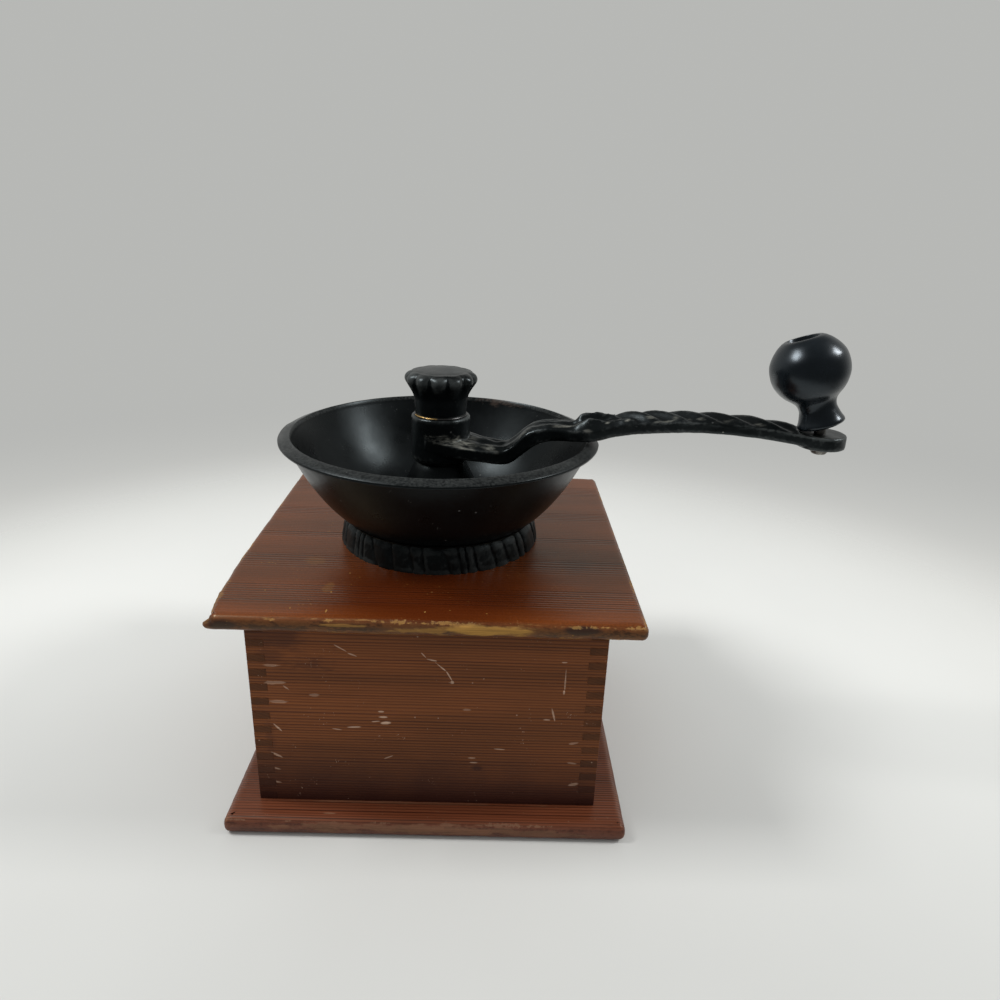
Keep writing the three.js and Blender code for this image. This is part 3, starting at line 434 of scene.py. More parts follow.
class Net:
    """A node tree with short ways to add to it."""

    def __init__(self, tree):
        self.tree = tree

    def feed(self, node, feeds):
        """Links outputs to a node's sockets, or sets these to numbers, vectors or colours."""
        for key, value in feeds.items():
            socket = node.inputs[key]
            if isinstance(value, Value):
                self.tree.links.new(value.socket, socket)
            elif socket.type == "RGBA":
                socket.default_value = (*value, 1.0)
            else:
                socket.default_value = value

    def node(self, kind, feeds, **settings):
        """A new node with its settings and what feeds it."""
        made = self.tree.nodes.new("ShaderNode" + kind)
        for key, value in settings.items():
            setattr(made, key, value)
        self.feed(made, feeds)
        return made

    def output(self, kind, feeds, which=0, **settings):
        """One output of a new node."""
        return Value(self, self.node(kind, feeds, **settings).outputs[which])

    def maths(self, operation, *values):
        return self.output("Math", dict(enumerate(values)), operation=operation)

    def greater(self, first, second):
        return self.maths("MAXIMUM", first, second)

    def lesser(self, first, second):
        return self.maths("MINIMUM", first, second)

    def vector(self, operation, *values):
        which = "Value" if operation == "LENGTH" else 0
        return self.output("VectorMath", dict(enumerate(values)), which, operation=operation)

    def parts(self, vector):
        """The x, y and z of a vector."""
        made = self.node("SeparateXYZ", {0: vector})
        return [Value(self, output) for output in made.outputs]

    def joined(self, *parts):
        """A vector of its parts."""
        return self.output("CombineXYZ", dict(enumerate(parts)))

    def ease(self, value, low, high, start=0.0, end=1.0):
        """A smooth step from start at low to end at high."""
        feeds = {"Value": value, "From Min": low, "From Max": high, "To Min": start, "To Max": end}
        return self.output("MapRange", feeds, interpolation_type="SMOOTHSTEP")

    def mixed(self, share, first, second, blend_type="MIX"):
        """A share of the second colour over the first."""
        feeds = {0: share, 6: first, 7: second}
        return self.output("Mix", feeds, 2, data_type="RGBA", blend_type=blend_type)

    def shaded(self, base, shade):
        """A colour made lighter or darker by a factor."""
        grey = self.output("CombineColor", {0: shade, 1: shade, 2: shade})
        return self.mixed(1.0, base, grey, "MULTIPLY")

    def noise(self, place, scale, detail=2.0, roughness=0.5):
        """Noise of a scale, which can differ along x, y and z."""
        if isinstance(scale, tuple):
            place = self.vector("MULTIPLY", place, scale)
            scale = 1.0
        feeds = {"Vector": place, "Scale": scale, "Detail": detail, "Roughness": roughness}
        return self.output("TexNoise", feeds)

    def bump(self, height, distance, share):
        return self.output("Bump", {"Height": height, "Distance": distance, "Strength": share})

    def group(self, name, feeds):
        """A shared group's outputs by their names."""
        made = self.tree.nodes.new("ShaderNodeGroup")
        made.node_tree = shared_group(name)
        self.feed(made, feeds)
        return {output.name: Value(self, output) for output in made.outputs}


GROUPS = {}


def group_of(inputs, outputs):
    """Keeps a function that makes a shared node group's outputs, under the group's name."""
    def keep(function):
        GROUPS[function.__name__.replace("_", " ")] = (function, inputs, outputs)
        return function
    return keep


def shared_group(name):
    """The named node group, built the first time that it is asked for."""
    tree = bpy.data.node_groups.get(name)
    if tree is not None:
        return tree
    function, inputs, outputs = GROUPS[name]
    tree = bpy.data.node_groups.new(name, "ShaderNodeTree")
    for label, default in inputs.items():
        kind = "NodeSocketFloat" if isinstance(default, float) else "NodeSocketVector"
        socket = tree.interface.new_socket(label, in_out="INPUT", socket_type=kind)
        if default is not None:
            socket.default_value = default
    for label in outputs:
        tree.interface.new_socket(label, in_out="OUTPUT", socket_type="NodeSocketFloat")
    net = Net(tree)
    source = tree.nodes.new("NodeGroupInput").outputs
    sink = tree.nodes.new("NodeGroupOutput")
    made = function(net, *(Value(net, source[label]) for label in inputs))
    net.feed(sink, dict(zip(outputs, made)))
    return tree


@group_of({"Vector": None, "Ring Pitch": 0.00125, "Waver": 0.002, "Seed": 0.0},
          ("Late Wood", "Fibre", "Tone"))
def straight_grain(net, along, pitch, waver, seed):
    """Softwood sawn so its rings show as lines: x runs along them, y across, z inwards."""
    place = net.vector("ADD", along, net.joined(seed, seed, seed))
    _, across, inwards = net.parts(along)
    drift = net.noise(place, (7, 26, 26), 1.0) - 0.5
    across = across + drift * waver + inwards * 0.35
    swell = (net.noise(net.joined(across, seed), 70.0, 1.0) - 0.5) * 2.6
    phase = across / pitch + swell
    inside = net.maths("FRACT", phase)
    ring = net.output("TexWhiteNoise", {"W": net.maths("FLOOR", phase)}, noise_dimensions="1D")
    late = net.ease(inside, 0.36, 0.7) * net.ease(inside, 0.82, 1.0, 1.0, 0.0)
    late = late * net.ease(ring, 0.0, 1.0, 0.6, 1.0)
    late = late * net.ease(net.noise(place, (22, 200, 200)), 0.25, 0.6, 0.7, 1.0)
    fibre = net.noise(place, (30, 2400, 2400), 3.0, 0.6)
    return late, fibre, net.noise(place, (9, 60, 60), 3.0)


@group_of({"Vector": None, "Half Width": 0.08, "Half Depth": 0.08, "Bottom": 0.0, "Top": 0.01,
           "Reach": 0.0015}, ("Wear",))
def edge_wear(net, place, half_width, half_depth, bottom, top, reach):
    """Rubbed edges of a flat board centred on the origin."""
    x, y, z = net.parts(place)
    from_x = half_width - abs(x)
    from_y = half_depth - abs(y)
    from_face = net.lesser(z - bottom, top - z)
    second = net.lesser(net.greater(from_x, from_y), from_face)
    nearest_edge = net.greater(net.lesser(from_x, from_y), second)
    ragged = net.noise(place, 620.0, 5.0, 0.7)
    spots = net.noise(place, 65.0, 3.0)
    gap = nearest_edge / (reach * net.ease(spots, 0.35, 0.7, 0.25, 2.2))
    gap = gap + net.ease(ragged, 0.2, 0.8, -0.7, 0.7)
    return [net.ease(gap, 0.75, 1.1, 1.0, 0.0)]


@group_of({"Vector": None, "Centre": None, "Size": None, "Turn": 0.0, "Ragged": 0.8,
           "Grain": 300.0, "Core": 0.6}, ("Mask",))
def worn_patch(net, place, centre, size, turn, ragged, grain, core):
    """A ragged patch about a centre, such as a rub, a stain, a bare spot or a painted highlight."""
    offset = net.output(
        "VectorRotate",
        {"Vector": net.vector("SUBTRACT", place, centre), "Axis": (0, 1, 0), "Angle": turn},
        rotation_type="AXIS_ANGLE")
    edge = net.noise(net.vector("MULTIPLY", place, (0.35, 1, 1)), grain, 4.0, 0.65)
    swing = (edge - 0.5) * ragged * 3.0
    gap = net.vector("LENGTH", net.vector("DIVIDE", offset, size)) + swing
    return [net.ease(gap, core, 1.0, 1.0, 0.0)]


@group_of({"Vector": None, "Amount": 0.5, "Speck Scale": 220.0}, ("Scratch", "Speck"))
def fine_scratches(net, place, amount, speck_scale):
    """Short thin scratches that run one way, gathered in places, and pale specks."""
    slanted = net.output("Mapping", {"Vector": place, "Rotation": (0.3, 0.5, 0.9)})
    scratch = net.ease(net.noise(slanted, (60, 1500, 1500), 1.0), 0.69, 0.74)
    scratch = scratch * net.ease(net.noise(place, 85.0), 0.56, 0.66)
    cells = net.node("TexVoronoi", {"Vector": place, "Scale": speck_scale}).outputs
    chance = net.output("SeparateColor", {0: Value(net, cells["Color"])})
    speck = net.ease(Value(net, cells["Distance"]), 0.05, 0.09, 1.0, 0.0)
    speck = speck * net.ease(chance, 0.86, 0.88)
    return scratch * amount, speck * amount


@group_of({"Vector": None}, ("Height", "Mottle"))
def cast_skin(net, place):
    """The fine sandy skin of a painted casting."""
    height = net.noise(place, 1500.0, 3.0, 0.6) * 0.45 + net.noise(place, 160.0) * 0.55
    return height, net.noise(place, 55.0, 4.0, 0.6)


# Marks

# Each mark has its centre and half sizes in millimetres, its strength, how ragged it is, and
# how far it turns, in degrees about +Y.


def on_wall(*rows):
    """Marks on the plain face, from rows without the places and sizes along Y."""
    return [(x, -70.3, z, wide, 3, tall, *rest) for x, z, wide, tall, *rest in rows]


WALL_SCUFFS = on_wall(
    (-18.6, 53.4, 1.5, 0.5, 1, 0.3, 0), (-17.6, 50.8, 2.2, 0.55, 1, 0.3, 0),
    (-16.9, 48, 2.6, 0.85, 1, 0.35, 4), (-20.8, 48.6, 2.2, 0.3, 0.8, 0.4, 8),
    (-29.5, 45.6, 3.3, 0.4, 0.95, 0.35, 3), (-37, 44.4, 2.4, 0.3, 0.7, 0.5, -8),
    (-1.4, 80.2, 2, 0.3, 0.75, 0.5, -50), (1.6, 78.2, 2.6, 0.35, 0.85, 0.5, -12),
    (5.2, 75.2, 3.2, 0.35, 0.85, 0.5, -42), (8.6, 71, 3, 0.35, 0.9, 0.5, -62),
    (9.8, 68.2, 1, 0.9, 0.9, 0.4, 0), (-33.5, 82.4, 3.2, 0.3, 0.7, 0.5, -32),
    (-29, 79.6, 2.4, 0.35, 0.7, 0.5, -22), (53.6, 78.6, 1.3, 0.35, 0.7, 0.5, 0),
    (54.4, 70.5, 0.35, 6, 0.6, 0.5, 0), (54.2, 64.8, 0.5, 1.2, 0.95, 0.4, 0),
    (50.6, 54, 0.4, 3.6, 0.7, 0.5, 14), (48.2, 51.4, 1.6, 0.35, 0.7, 0.5, 0),
    (-45, 60.6, 2.2, 0.9, 0.4, 0.7, 0), (-56, 63.8, 1.6, 0.4, 0.6, 0.6, -40),
    (29.5, 36.3, 2.6, 0.35, 0.7, 0.5, -4), (18.2, 31.6, 1.9, 0.4, 0.55, 0.5, 0),
    (18.8, 29.2, 2.2, 0.45, 0.7, 0.5, 0), (-16, 31, 2.2, 0.35, 0.6, 0.5, 24),
    (-60.4, 44.4, 2.8, 0.4, 0.9, 0.5, -48), (-62, 31, 3, 0.5, 0.6, 0.7, -30),
    (-62.6, 24, 2.6, 0.5, 0.55, 0.7, -14), (-63, 17, 2.4, 0.5, 0.5, 0.7, -10),
    (16.2, 55.3, 2.2, 0.6, 0.35, 0.7, 0), (-61, 74, 4.4, 0.7, 0.35, 0.8, 0),
    (-60, 66, 4.6, 0.9, 0.45, 0.8, 4), (-59, 57, 4, 0.8, 0.4, 0.8, 0),
    (59.5, 40, 2.2, 0.6, 0.45, 0.8, 10), (60, 30, 2.4, 0.6, 0.4, 0.8, -8),
    (60.5, 19, 2.2, 0.7, 0.45, 0.8, 14),
)
WALL_STAINS = on_wall(
    (-54, 87, 17, 6, 0.5, 1.2, 0), (-46, 74, 12, 4, 0.45, 1.4, 0), (-62, 78, 7, 4, 0.35, 1.2, 0),
    (20.5, 26.4, 2.6, 1.6, 0.7, 0.5, 0), (-64, 40, 2.6, 12, 0.3, 0.8, 0),
)
BASE_RUBS = (
    (-8, -71.1, 8.1, 64, 0.6, 1, 0.35, 0.75, 0), (6, -82.5, 4.6, 62, 4, 2.4, 0.5, 1, 0),
    (-30, -82.5, 5.2, 26, 4, 1.6, 0.45, 1, 0), (48, -82.5, 3.6, 24, 4, 1.5, 0.4, 1, 0),
    (-40, -78, 8.1, 3, 0.5, 1, 0.7, 0.7, 0),
)
DECK_RUBS = (
    (23, -82.5, 99, 19, 5, 2.5, 1, 0.5, 0), (0, -82.5, 98.4, 12, 5, 1.2, 0.6, 0.9, 0),
    (-38, -82, 101.9, 34, 1, 0.5, 0.4, 0.9, 0), (-30, -82.5, 99.8, 9, 2, 0.6, 0.5, 0.9, 0),
    (34, -82, 101.8, 34, 0.9, 0.4, 0.25, 1, 0), (-12, -82.5, 96.2, 22, 4, 0.5, 0.5, 0.9, 0),
    (-80, -68, 100, 2, 16, 3, 0.35, 0.9, 0), (-63.7, -61.3, 102.1, 0.4, 0.4, 1, 1, 0.2, 0),
    (-33.8, -44.8, 102.1, 0.45, 0.4, 1, 1, 0.2, 0), (-50.7, -74.7, 102.1, 0.4, 0.4, 1, 1, 0.2, 0),
    (-38.1, -61.4, 102.1, 0.45, 0.5, 1, 1, 0.2, 0), (-0.5, -75, 102.1, 0.45, 0.4, 1, 1, 0.2, 0),
    (-37, -76, 102.1, 0.4, 1.6, 1, 0.7, 0.5, 0), (-50, -34, 102.1, 5, 6, 1, 0.13, 0.8, 0),
    (-40, -58, 102.1, 2.2, 5, 1, 0.16, 0.8, 0),
)
DECK_STAINS = (
    (57.5, -82.5, 100, 7.6, 5, 2, 2.2, 0.4, 0), (-74, -82.5, 98.4, 8, 5, 2.6, 1.3, 0.7, 0),
    (-20, -82.5, 98.8, 9, 4, 1.2, 0.6, 0.8, 0), (60, -32, 102.1, 9, 14, 2, 0.3, 0.5, 0),
)
# Rubbed paint on the crank's top, bright spots on its leaf, painted highlights on its rope and front
# edge
CRANK_RUBS_AND_HIGHLIGHTS = (
    (6, -10.6, 149.4, 12, 4.6, 2.4, 0.8, 1, -10), (21.6, -11.4, 147, 4.4, 3.4, 2.2, 1, 0.8, 0),
    (11, -13.2, 147.2, 16, 1.1, 0.9, 0.8, 0.7, -9), (15, -5, 149.2, 3.4, 2.4, 1.4, 0.35, 0.9, 0),
    (36, -11.2, 153.6, 5.5, 1.6, 1.4, 0.4, 1, 45), (54, -14.4, 158.9, 7, 1.3, 1, 0.6, 0.8, 4),
    (62.4, -18.8, 157.8, 2.4, 1.1, 1.2, 0.4, 0.6, 0),
    (70.5, -17.9, 161.6, 1.8, 0.9, 0.8, 0.9, 0.5, 20),
    (78.5, -19.4, 163.2, 1.6, 0.9, 0.7, 0.85, 0.5, 20), (92, -22.9, 164.1, 17, 0.9, 0.8, 0.45, 0.8, 5),
    (87.5, -20.6, 165.2, 4.6, 1.3, 0.9, 0.5, 0.8, 0), (97, -22.2, 165.9, 3.6, 1.3, 0.9, 0.5, 0.8, 0),
    (107.5, -24.2, 166.2, 3.2, 1.3, 0.9, 0.45, 0.8, 0), (117, -26, 166.1, 4.8, 1.3, 0.9, 0.55, 0.8, 0),
    (130, -28.2, 165.4, 4, 1.3, 0.9, 0.4, 0.8, -8), (116.2, -27.6, 161.6, 0.5, 1, 0.5, 1, 0.2, 0),
)
BOWL_RUBS = (
    (26, 58, 150.4, 18, 9, 2.4, 0.7, 0.9, 0), (66, -8, 150.6, 3, 14, 0.8, 0.4, 0.9, 0),
)
# Where brass still shows on the washer, which is black with grime elsewhere
WASHER_GOLD = (
    (-9.2, -7.4, 158.9, 4.2, 4.6, 2.4, 1, 0.3, 0), (-3.4, -11.2, 158.9, 3.8, 2.2, 0.8, 1, 0.5, 0),
)
# Where the rings show as groups of lines on the deck: (middle, half width)
DECK_BANDS = (mm(-34.3, 6.6), mm(-63, 8.2), mm(-6, 3), mm(22, 5), mm(58, 7))
BETWEEN_BANDS = 0.16

# Dark, middle and light wood of the battered edges
DECK_EDGE = ((0.038, 0.0085, 0.003), (0.12, 0.036, 0.009), (0.26, 0.125, 0.04))
BASE_EDGE = ((0.045, 0.011, 0.007), (0.115, 0.034, 0.02), (0.23, 0.11, 0.065))
STAIN = (0.034, 0.0095, 0.008)
# Painted shade and reflection of the bowl on the deck in front of it
BOWL_SHADE_COLOUR = (0.058, 0.0075, 0.001)
VARNISH_TINT = (1.0, 0.95, 0.8)
WORN_BOWL = (0.09, 0.06, 0.045)
# Grey of the crank's rubbed paint and of its painted highlights
CRANK_WEAR_AND_HIGHLIGHT = (0.24, 0.235, 0.2)
# Height above which the bowl's lip is painted lighter grey as a painted sheen, and that grey
PAINTED_LIP_SHEEN = (149.3 * MM, (0.033, 0.035, 0.034))
DUST = (0.25, 0.25, 0.24)
GRIME = (0.012, 0.011, 0.01)


# Finishes


def times(colours, factor):
    """A colour made darker or lighter."""
    return tuple(part * factor for part in colours)


def start_material():
    """A material with an empty tree, its net, its shader and its object coordinates."""
    made = bpy.data.materials.new("finish")
    made.use_nodes = True
    made.node_tree.nodes.clear()
    net = Net(made.node_tree)
    shader = net.node("BsdfPrincipled", {})
    net.node("OutputMaterial", {"Surface": Value(net, shader.outputs[0])})
    return made, net, shader, net.output("TexCoord", {}, "Object")


def patches(net, place, marks, core=0.6, grain=300.0):
    """The strongest of several marks at a place."""
    strongest = None
    for mark in marks:
        degree, ragged, turn = mark[6:]
        mask = net.group("worn patch", {
            "Vector": place, "Centre": mm(*mark[:3]), "Size": mm(*mark[3:6]), "Ragged": ragged,
            "Turn": math.radians(turn), "Core": core, "Grain": grain})["Mask"] * degree
        strongest = mask if strongest is None else net.greater(strongest, mask)
    return strongest


def shaded_low(net, place, base):
    """Darkens a wall towards its foot."""
    level = net.parts(place)[2] + (net.noise(place, 60.0, 3.0) - 0.5) * 0.014
    return net.mixed(net.ease(level, 0.007, 0.042, 0.93, 0.0), base, STAIN)


def painted_bowl_shade(net, place, base):
    """Paints the bowl's shade and dark reflection onto the deck in front of it, as a deeper red."""
    offset = net.vector("DIVIDE", net.vector("SUBTRACT", place, mm(2, -60, 102)), mm(46, 34, 40))
    # Share of the bowl's painted shade at each place
    deep = net.ease(net.vector("LENGTH", offset), 0.45, 1.15, 0.7, 0.0)
    return net.mixed(deep, base, BOWL_SHADE_COLOUR)


def battered(net, place, base, share, tones):
    """The mottled, knocked wood of a board's upright edges."""
    low, middle, high = tones
    blotch = net.noise(place, (75, 75, 330), 5.0, 0.72)
    flecks = net.noise(place, (700, 700, 1300), 3.0, 0.6)
    mottle = blotch + (flecks - 0.5) * 0.5
    tone = net.mixed(net.ease(mottle, 0.38, 0.54), low, middle)
    tone = net.mixed(net.ease(mottle, 0.62, 0.76), tone, high)
    return net.mixed(share, base, tone)


def banded(net, across, bands):
    """How strongly the rings show on a board whose lines gather in (middle, half width) bands."""
    shown = BETWEEN_BANDS
    for middle, half in bands:
        band = net.ease(abs(across - middle), half * 0.75, half * 1.15, 1.0, BETWEEN_BANDS)
        shown = net.greater(shown, band)
    return shown


def wood_material(axes, light, dark, pitch, *, waver, seed, gloss, end_tone, wear=None, rubs_and_highlights=(),
                  stains=(), worn=None, shine=0.3, bands=(), battering=0.0, edge_tones=None,
                  shading=None, line_bump=0.5, tint=VARNISH_TINT, speckle=0.0):
    """Varnished softwood with dark ring lines, end grain, rubbed edges and bare spots.

    The axes name the directions along the grain, across it and into the board.
    """
    made, net, shader, place = start_material()
    parts = net.parts(place)
    along = net.joined(*(parts[axis] for axis in axes))
    grain = net.group("straight grain", {
        "Vector": along, "Ring Pitch": pitch, "Waver": waver, "Seed": seed})
    fibre = grain["Fibre"]
    normal = net.parts(net.output("NewGeometry", {}, "Normal"))
    ends = net.ease(abs(normal[axes[0]]), 0.75, 0.92)
    lines = grain["Late Wood"] * (1.0 - ends * 0.65)
    if bands:
        lines = lines * banded(net, parts[axes[1]], bands)
    shade = net.ease(grain["Tone"], 0.3, 0.72, 0.8, 1.18) * net.ease(fibre, 0.25, 0.75, 0.86, 1.12)
    shade = shade * net.ease(ends, 0.0, 1.0, 1.0, end_tone)
    if speckle:
        dots = net.noise(place, 1500.0)
        shade = shade * net.ease(dots, 0.35, 0.65, 1 - speckle, 1 + speckle)
    base = net.shaded(net.mixed(lines, light, dark), shade)
    rough = net.ease(fibre, 0.2, 0.8, gloss - 0.05, gloss + 0.08)
    if shading:
        base = shading(net, place, base)
    if battering:
        upright = net.ease(abs(normal[2]), 0.4, 0.85, 1.0, 0.0)
        base = battered(net, place, base, upright * battering, edge_tones)
        rough = rough + upright * 0.2
    if stains:
        base = net.mixed(patches(net, place, stains, core=0.2, grain=150.0), base, STAIN)
    marks = net.group("fine scratches", {"Vector": place, "Amount": 0.6})
    bare = net.greater(marks["Scratch"], marks["Speck"])
    if wear:
        bare = net.greater(bare, net.group("edge wear", {"Vector": place, **wear})["Wear"] * 0.6)
    if rubs_and_highlights:
        bare = net.greater(bare, patches(net, place, rubs_and_highlights))
    if worn is not None:
        bare_tone = net.mixed(net.ease(fibre, 0.3, 0.7), times(worn, 0.55), worn)
        base = net.mixed(bare * 0.85, base, bare_tone)
    height = fibre * 0.35 - lines * line_bump - bare * 0.6
    net.feed(shader, {
        "Base Color": base, "Roughness": rough + bare * 0.35, "Specular IOR Level": shine,
        "Specular Tint": tint, "Normal": net.bump(height, 0.12 * MM, 0.8)})
    return made


def iron_material(paint, *, rough, skin_height, worn=None, dust=0.0, metal=0.0, shine=0.4,
                  rubs_and_highlights=(), rubbed=None, rim=None):
    """Painted or bare cast iron. With a worn colour, what stands out in relief is rubbed."""
    made, net, shader, place = start_material()
    skin = net.group("cast skin", {"Vector": place})
    mottle = skin["Mottle"]
    base = net.mixed(net.ease(mottle, 0.3, 0.7), times(paint, 0.72), times(paint, 1.35))
    roughness = net.ease(mottle, 0.25, 0.75, rough - 0.05, rough + 0.07)
    if worn is not None:
        stands = net.output("Attribute", {}, "Fac", attribute_name=RELIEF)
        broken = net.noise(place, 480.0, 4.0, 0.65)
        edge = stands + net.ease(broken, 0.25, 0.75, -0.16, 0.16)
        proud = net.ease(edge, 0.6, 0.86) * net.ease(mottle, 0.38, 0.6)
        base = net.mixed(proud * 0.5, base, worn)
        roughness = roughness + proud * 0.06
    # Painted sheen: the lip's top is painted a lighter grey
    if rim:
        height, sheen_colour = rim
        cover = net.ease(net.noise(place, 900.0, 3.0, 0.7), 0.3, 0.7)
        on_lip_sheen = net.ease(net.parts(place)[2], height, height + 0.6 * MM) * cover
        base = net.mixed(on_lip_sheen, base, sheen_colour)
    # Rubbed paint and, on the crank, painted highlights
    if rubs_and_highlights:
        streaks = net.noise(place, (230, 1100, 1100), 4.0, 0.65)
        bare = patches(net, place, rubs_and_highlights, core=0.05, grain=420.0)
        bare = bare * net.ease(streaks, 0.32, 0.62, 0.15, 1.0)
        base = net.mixed(bare, base, rubbed)
        roughness = roughness + bare * 0.12
    if dust:
        marks = net.group("fine scratches", {"Vector": place, "Amount": dust, "Speck Scale": 170.0})
        base = net.mixed(net.greater(marks["Speck"], marks["Scratch"] * 0.5), base, DUST)
    net.feed(shader, {
        "Base Color": base, "Roughness": roughness, "Metallic": metal, "Specular IOR Level": shine,
        "Specular Tint": (1, 1, 1) if metal else (0.86, 1.0, 1.04),
        "Normal": net.bump(skin["Height"], skin_height, 0.7)})
    return made


def metal_material(tint, *, rough, tarnish):
    """Dull steel or brass with darker tarnish and fine scratches."""
    made, net, shader, place = start_material()
    cloud = net.noise(place, 260.0, 4.0, 0.6)
    net.feed(shader, {
        "Base Color": net.mixed(net.ease(cloud, 0.35, 0.65), tint, tarnish), "Metallic": 1.0,
        "Roughness": net.ease(cloud, 0.3, 0.7, rough, rough + 0.15),
        "Normal": net.bump(net.noise(place, 1900.0), 0.03 * MM, 0.5)})
    return made


def washer_material(tint):
    """Brass that shows at two places only and is black with grime elsewhere."""
    made, net, shader, place = start_material()
    gold = patches(net, place, WASHER_GOLD)
    cloud = net.ease(net.noise(place, 700.0, 3.0), 0.3, 0.7)
    lit = net.mixed(cloud, tint, times(tint, 0.6))
    net.feed(shader, {
        "Base Color": net.mixed(gold, GRIME, lit), "Metallic": gold, "Roughness": 0.36})
    return made


def knob_material(paint):
    """Gloss black paint with small pits and pale specks."""
    made, net, shader, place = start_material()
    speck = net.group(
        "fine scratches", {"Vector": place, "Amount": 0.8, "Speck Scale": 240.0})["Speck"]
    cloud = net.noise(place, 70.0, 3.0)
    base = net.mixed(net.ease(cloud, 0.3, 0.7), paint, times(paint, 1.6))
    pits = net.noise(place, 900.0, 3.0) - speck
    net.feed(shader, {
        "Base Color": net.mixed(speck * 0.8, base, (0.4, 0.4, 0.38)),
        "Roughness": net.ease(cloud, 0.3, 0.7, 0.24, 0.32), "Specular Tint": (0.88, 1.0, 1.1),
        "Normal": net.bump(pits, 0.03 * MM, 0.5)})
    return made


def edges_of(node):
    """The edge wear group's sizes for a board, from its CAD node."""
    low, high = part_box(node)
    return {"Half Width": high.x, "Half Depth": high.y, "Bottom": low.z, "Top": high.z,
            "Reach": 0.7 * MM}


def make_finishes(case, iron, crank):
    """Every finish of the grinder by its plain name."""
    pitch = case.ring_pitch
    wall = {"light": case.wall_colour, "dark": case.wall_dark, "pitch": pitch, "waver": 1.2 * MM,
            "gloss": 0.5, "worn": case.scuff_colour, "end_tone": 0.5, "shine": 0.2,
            "shading": shaded_low}
    return {
        "wall wood x": wood_material(
            (0, 2, 1), seed=1.3, rubs_and_highlights=WALL_SCUFFS, stains=WALL_STAINS, **wall),
        "wall wood y": wood_material((1, 2, 0), seed=6.4, **wall),
        "deck wood": wood_material(
            (0, 1, 2), case.deck_colour, case.deck_dark, pitch * 1.4, waver=1.2 * MM, seed=3.7,
            gloss=0.31, wear=edges_of("deck_board"), rubs_and_highlights=DECK_RUBS, stains=DECK_STAINS,
            worn=case.deck_worn, end_tone=0.8, shine=0.57, bands=DECK_BANDS, battering=0.9,
            edge_tones=DECK_EDGE, shading=painted_bowl_shade, line_bump=1.5, tint=(1.0, 0.9, 0.6),
            speckle=0.16),
        "base wood": wood_material(
            (0, 1, 2), case.base_colour, case.base_dark, pitch, waver=1.6 * MM, seed=8.1,
            gloss=0.34, wear=edges_of("base_board"), rubs_and_highlights=BASE_RUBS, worn=case.base_worn,
            end_tone=0.8, battering=0.7, edge_tones=BASE_EDGE, line_bump=0.8, shine=0.4),
        "drawer wood": wood_material(
            (1, 2, 0), case.drawer_colour, times(case.drawer_colour, 0.55), pitch * 2,
            waver=3 * MM, seed=5.2, gloss=0.6, end_tone=0.75),
        "bowl iron": iron_material(
            iron.bowl_colour, rough=0.3, skin_height=0.07 * MM, dust=0.4, shine=0.18,
            rubs_and_highlights=BOWL_RUBS, rubbed=WORN_BOWL, rim=PAINTED_LIP_SHEEN),
        "ring iron": iron_material(
            iron.bowl_colour, rough=0.4, skin_height=0.12 * MM, shine=0.24,
            worn=times(crank.worn_colour, 0.5)),
        "crank iron": iron_material(
            crank.crank_colour, rough=0.31, skin_height=0.08 * MM, rubs_and_highlights=CRANK_RUBS_AND_HIGHLIGHTS,
            rubbed=CRANK_WEAR_AND_HIGHLIGHT, shine=0.36, worn=crank.worn_colour, dust=0.2),
        "burr iron": iron_material(iron.burr_colour, rough=0.5, skin_height=0.1 * MM, metal=0.9),
        "dull steel": metal_material(crank.steel_colour, rough=0.34, tarnish=(0.12, 0.11, 0.1)),
        "dull brass": metal_material(crank.brass_colour, rough=0.32, tarnish=(0.13, 0.08, 0.035)),
        "washer brass": washer_material(crank.brass_colour),
        "knob paint": knob_material(crank.knob_colour),
    }


FINISHES = {}


def finish(name):
    """A finish by its plain name. All are made the first time that one is asked for."""
    if not FINISHES:
        scene = bpy.context.scene
        FINISHES.update(make_finishes(scene.grinder_case, scene.grinder_iron, scene.grinder_crank))
        for plain_name, made in FINISHES.items():
            made.name = plain_name
    return FINISHES[name]


# The wooden case

# The deck's left edge is broken away near the front. Each row gives a distance from the
# front edge and the share of the chip's depth that is missing there.
CHIP_ROWS = (
    (0.0, 1.0), (4 * MM, 1.0), (8 * MM, 0.83), (12 * MM, 0.6), (16 * MM, 0.42), (24 * MM, 0.27),
    (30 * MM, 0.2), (38 * MM, 0.1), (46 * MM, 0.0),
)
# The drawer pull's outline, as shares of its reach and of its radius
PULL_ROWS = ((0, 0.75), (0.1, 0.71), (0.32, 0.58), (0.5, 0.77), (0.68, 1.0), (0.86, 0.98), (1.0, 0.6))


def knock_edges(bm, low, high, depth, seed):
    """Small dents along a board's rounded edges."""
    for vert in bm.verts:
        place = vert.co
        from_x = high.x - abs(place.x)
        from_y = high.y - abs(place.y)
        from_face = min(place.z - low.z, high.z - place.z)
        near = ease(max(min(from_x, from_y), from_face), 3 * MM, 0.2 * MM)
        if near <= 0:
            continue
        broad = max(0.0, wander(place, 140, seed))
        narrow = max(0.0, wander(place, 420, seed + 4))
        inward = Vector((
            -place.x / high.x if from_x < 4 * MM else 0,
            -place.y / high.y if from_y < 4 * MM else 0,
            -1 if place.z > (low.z + high.z) / 2 else 1))
        dent = broad ** 2 + 0.5 * narrow ** 2
        vert.co = place + inward.normalized() * depth * dent * near


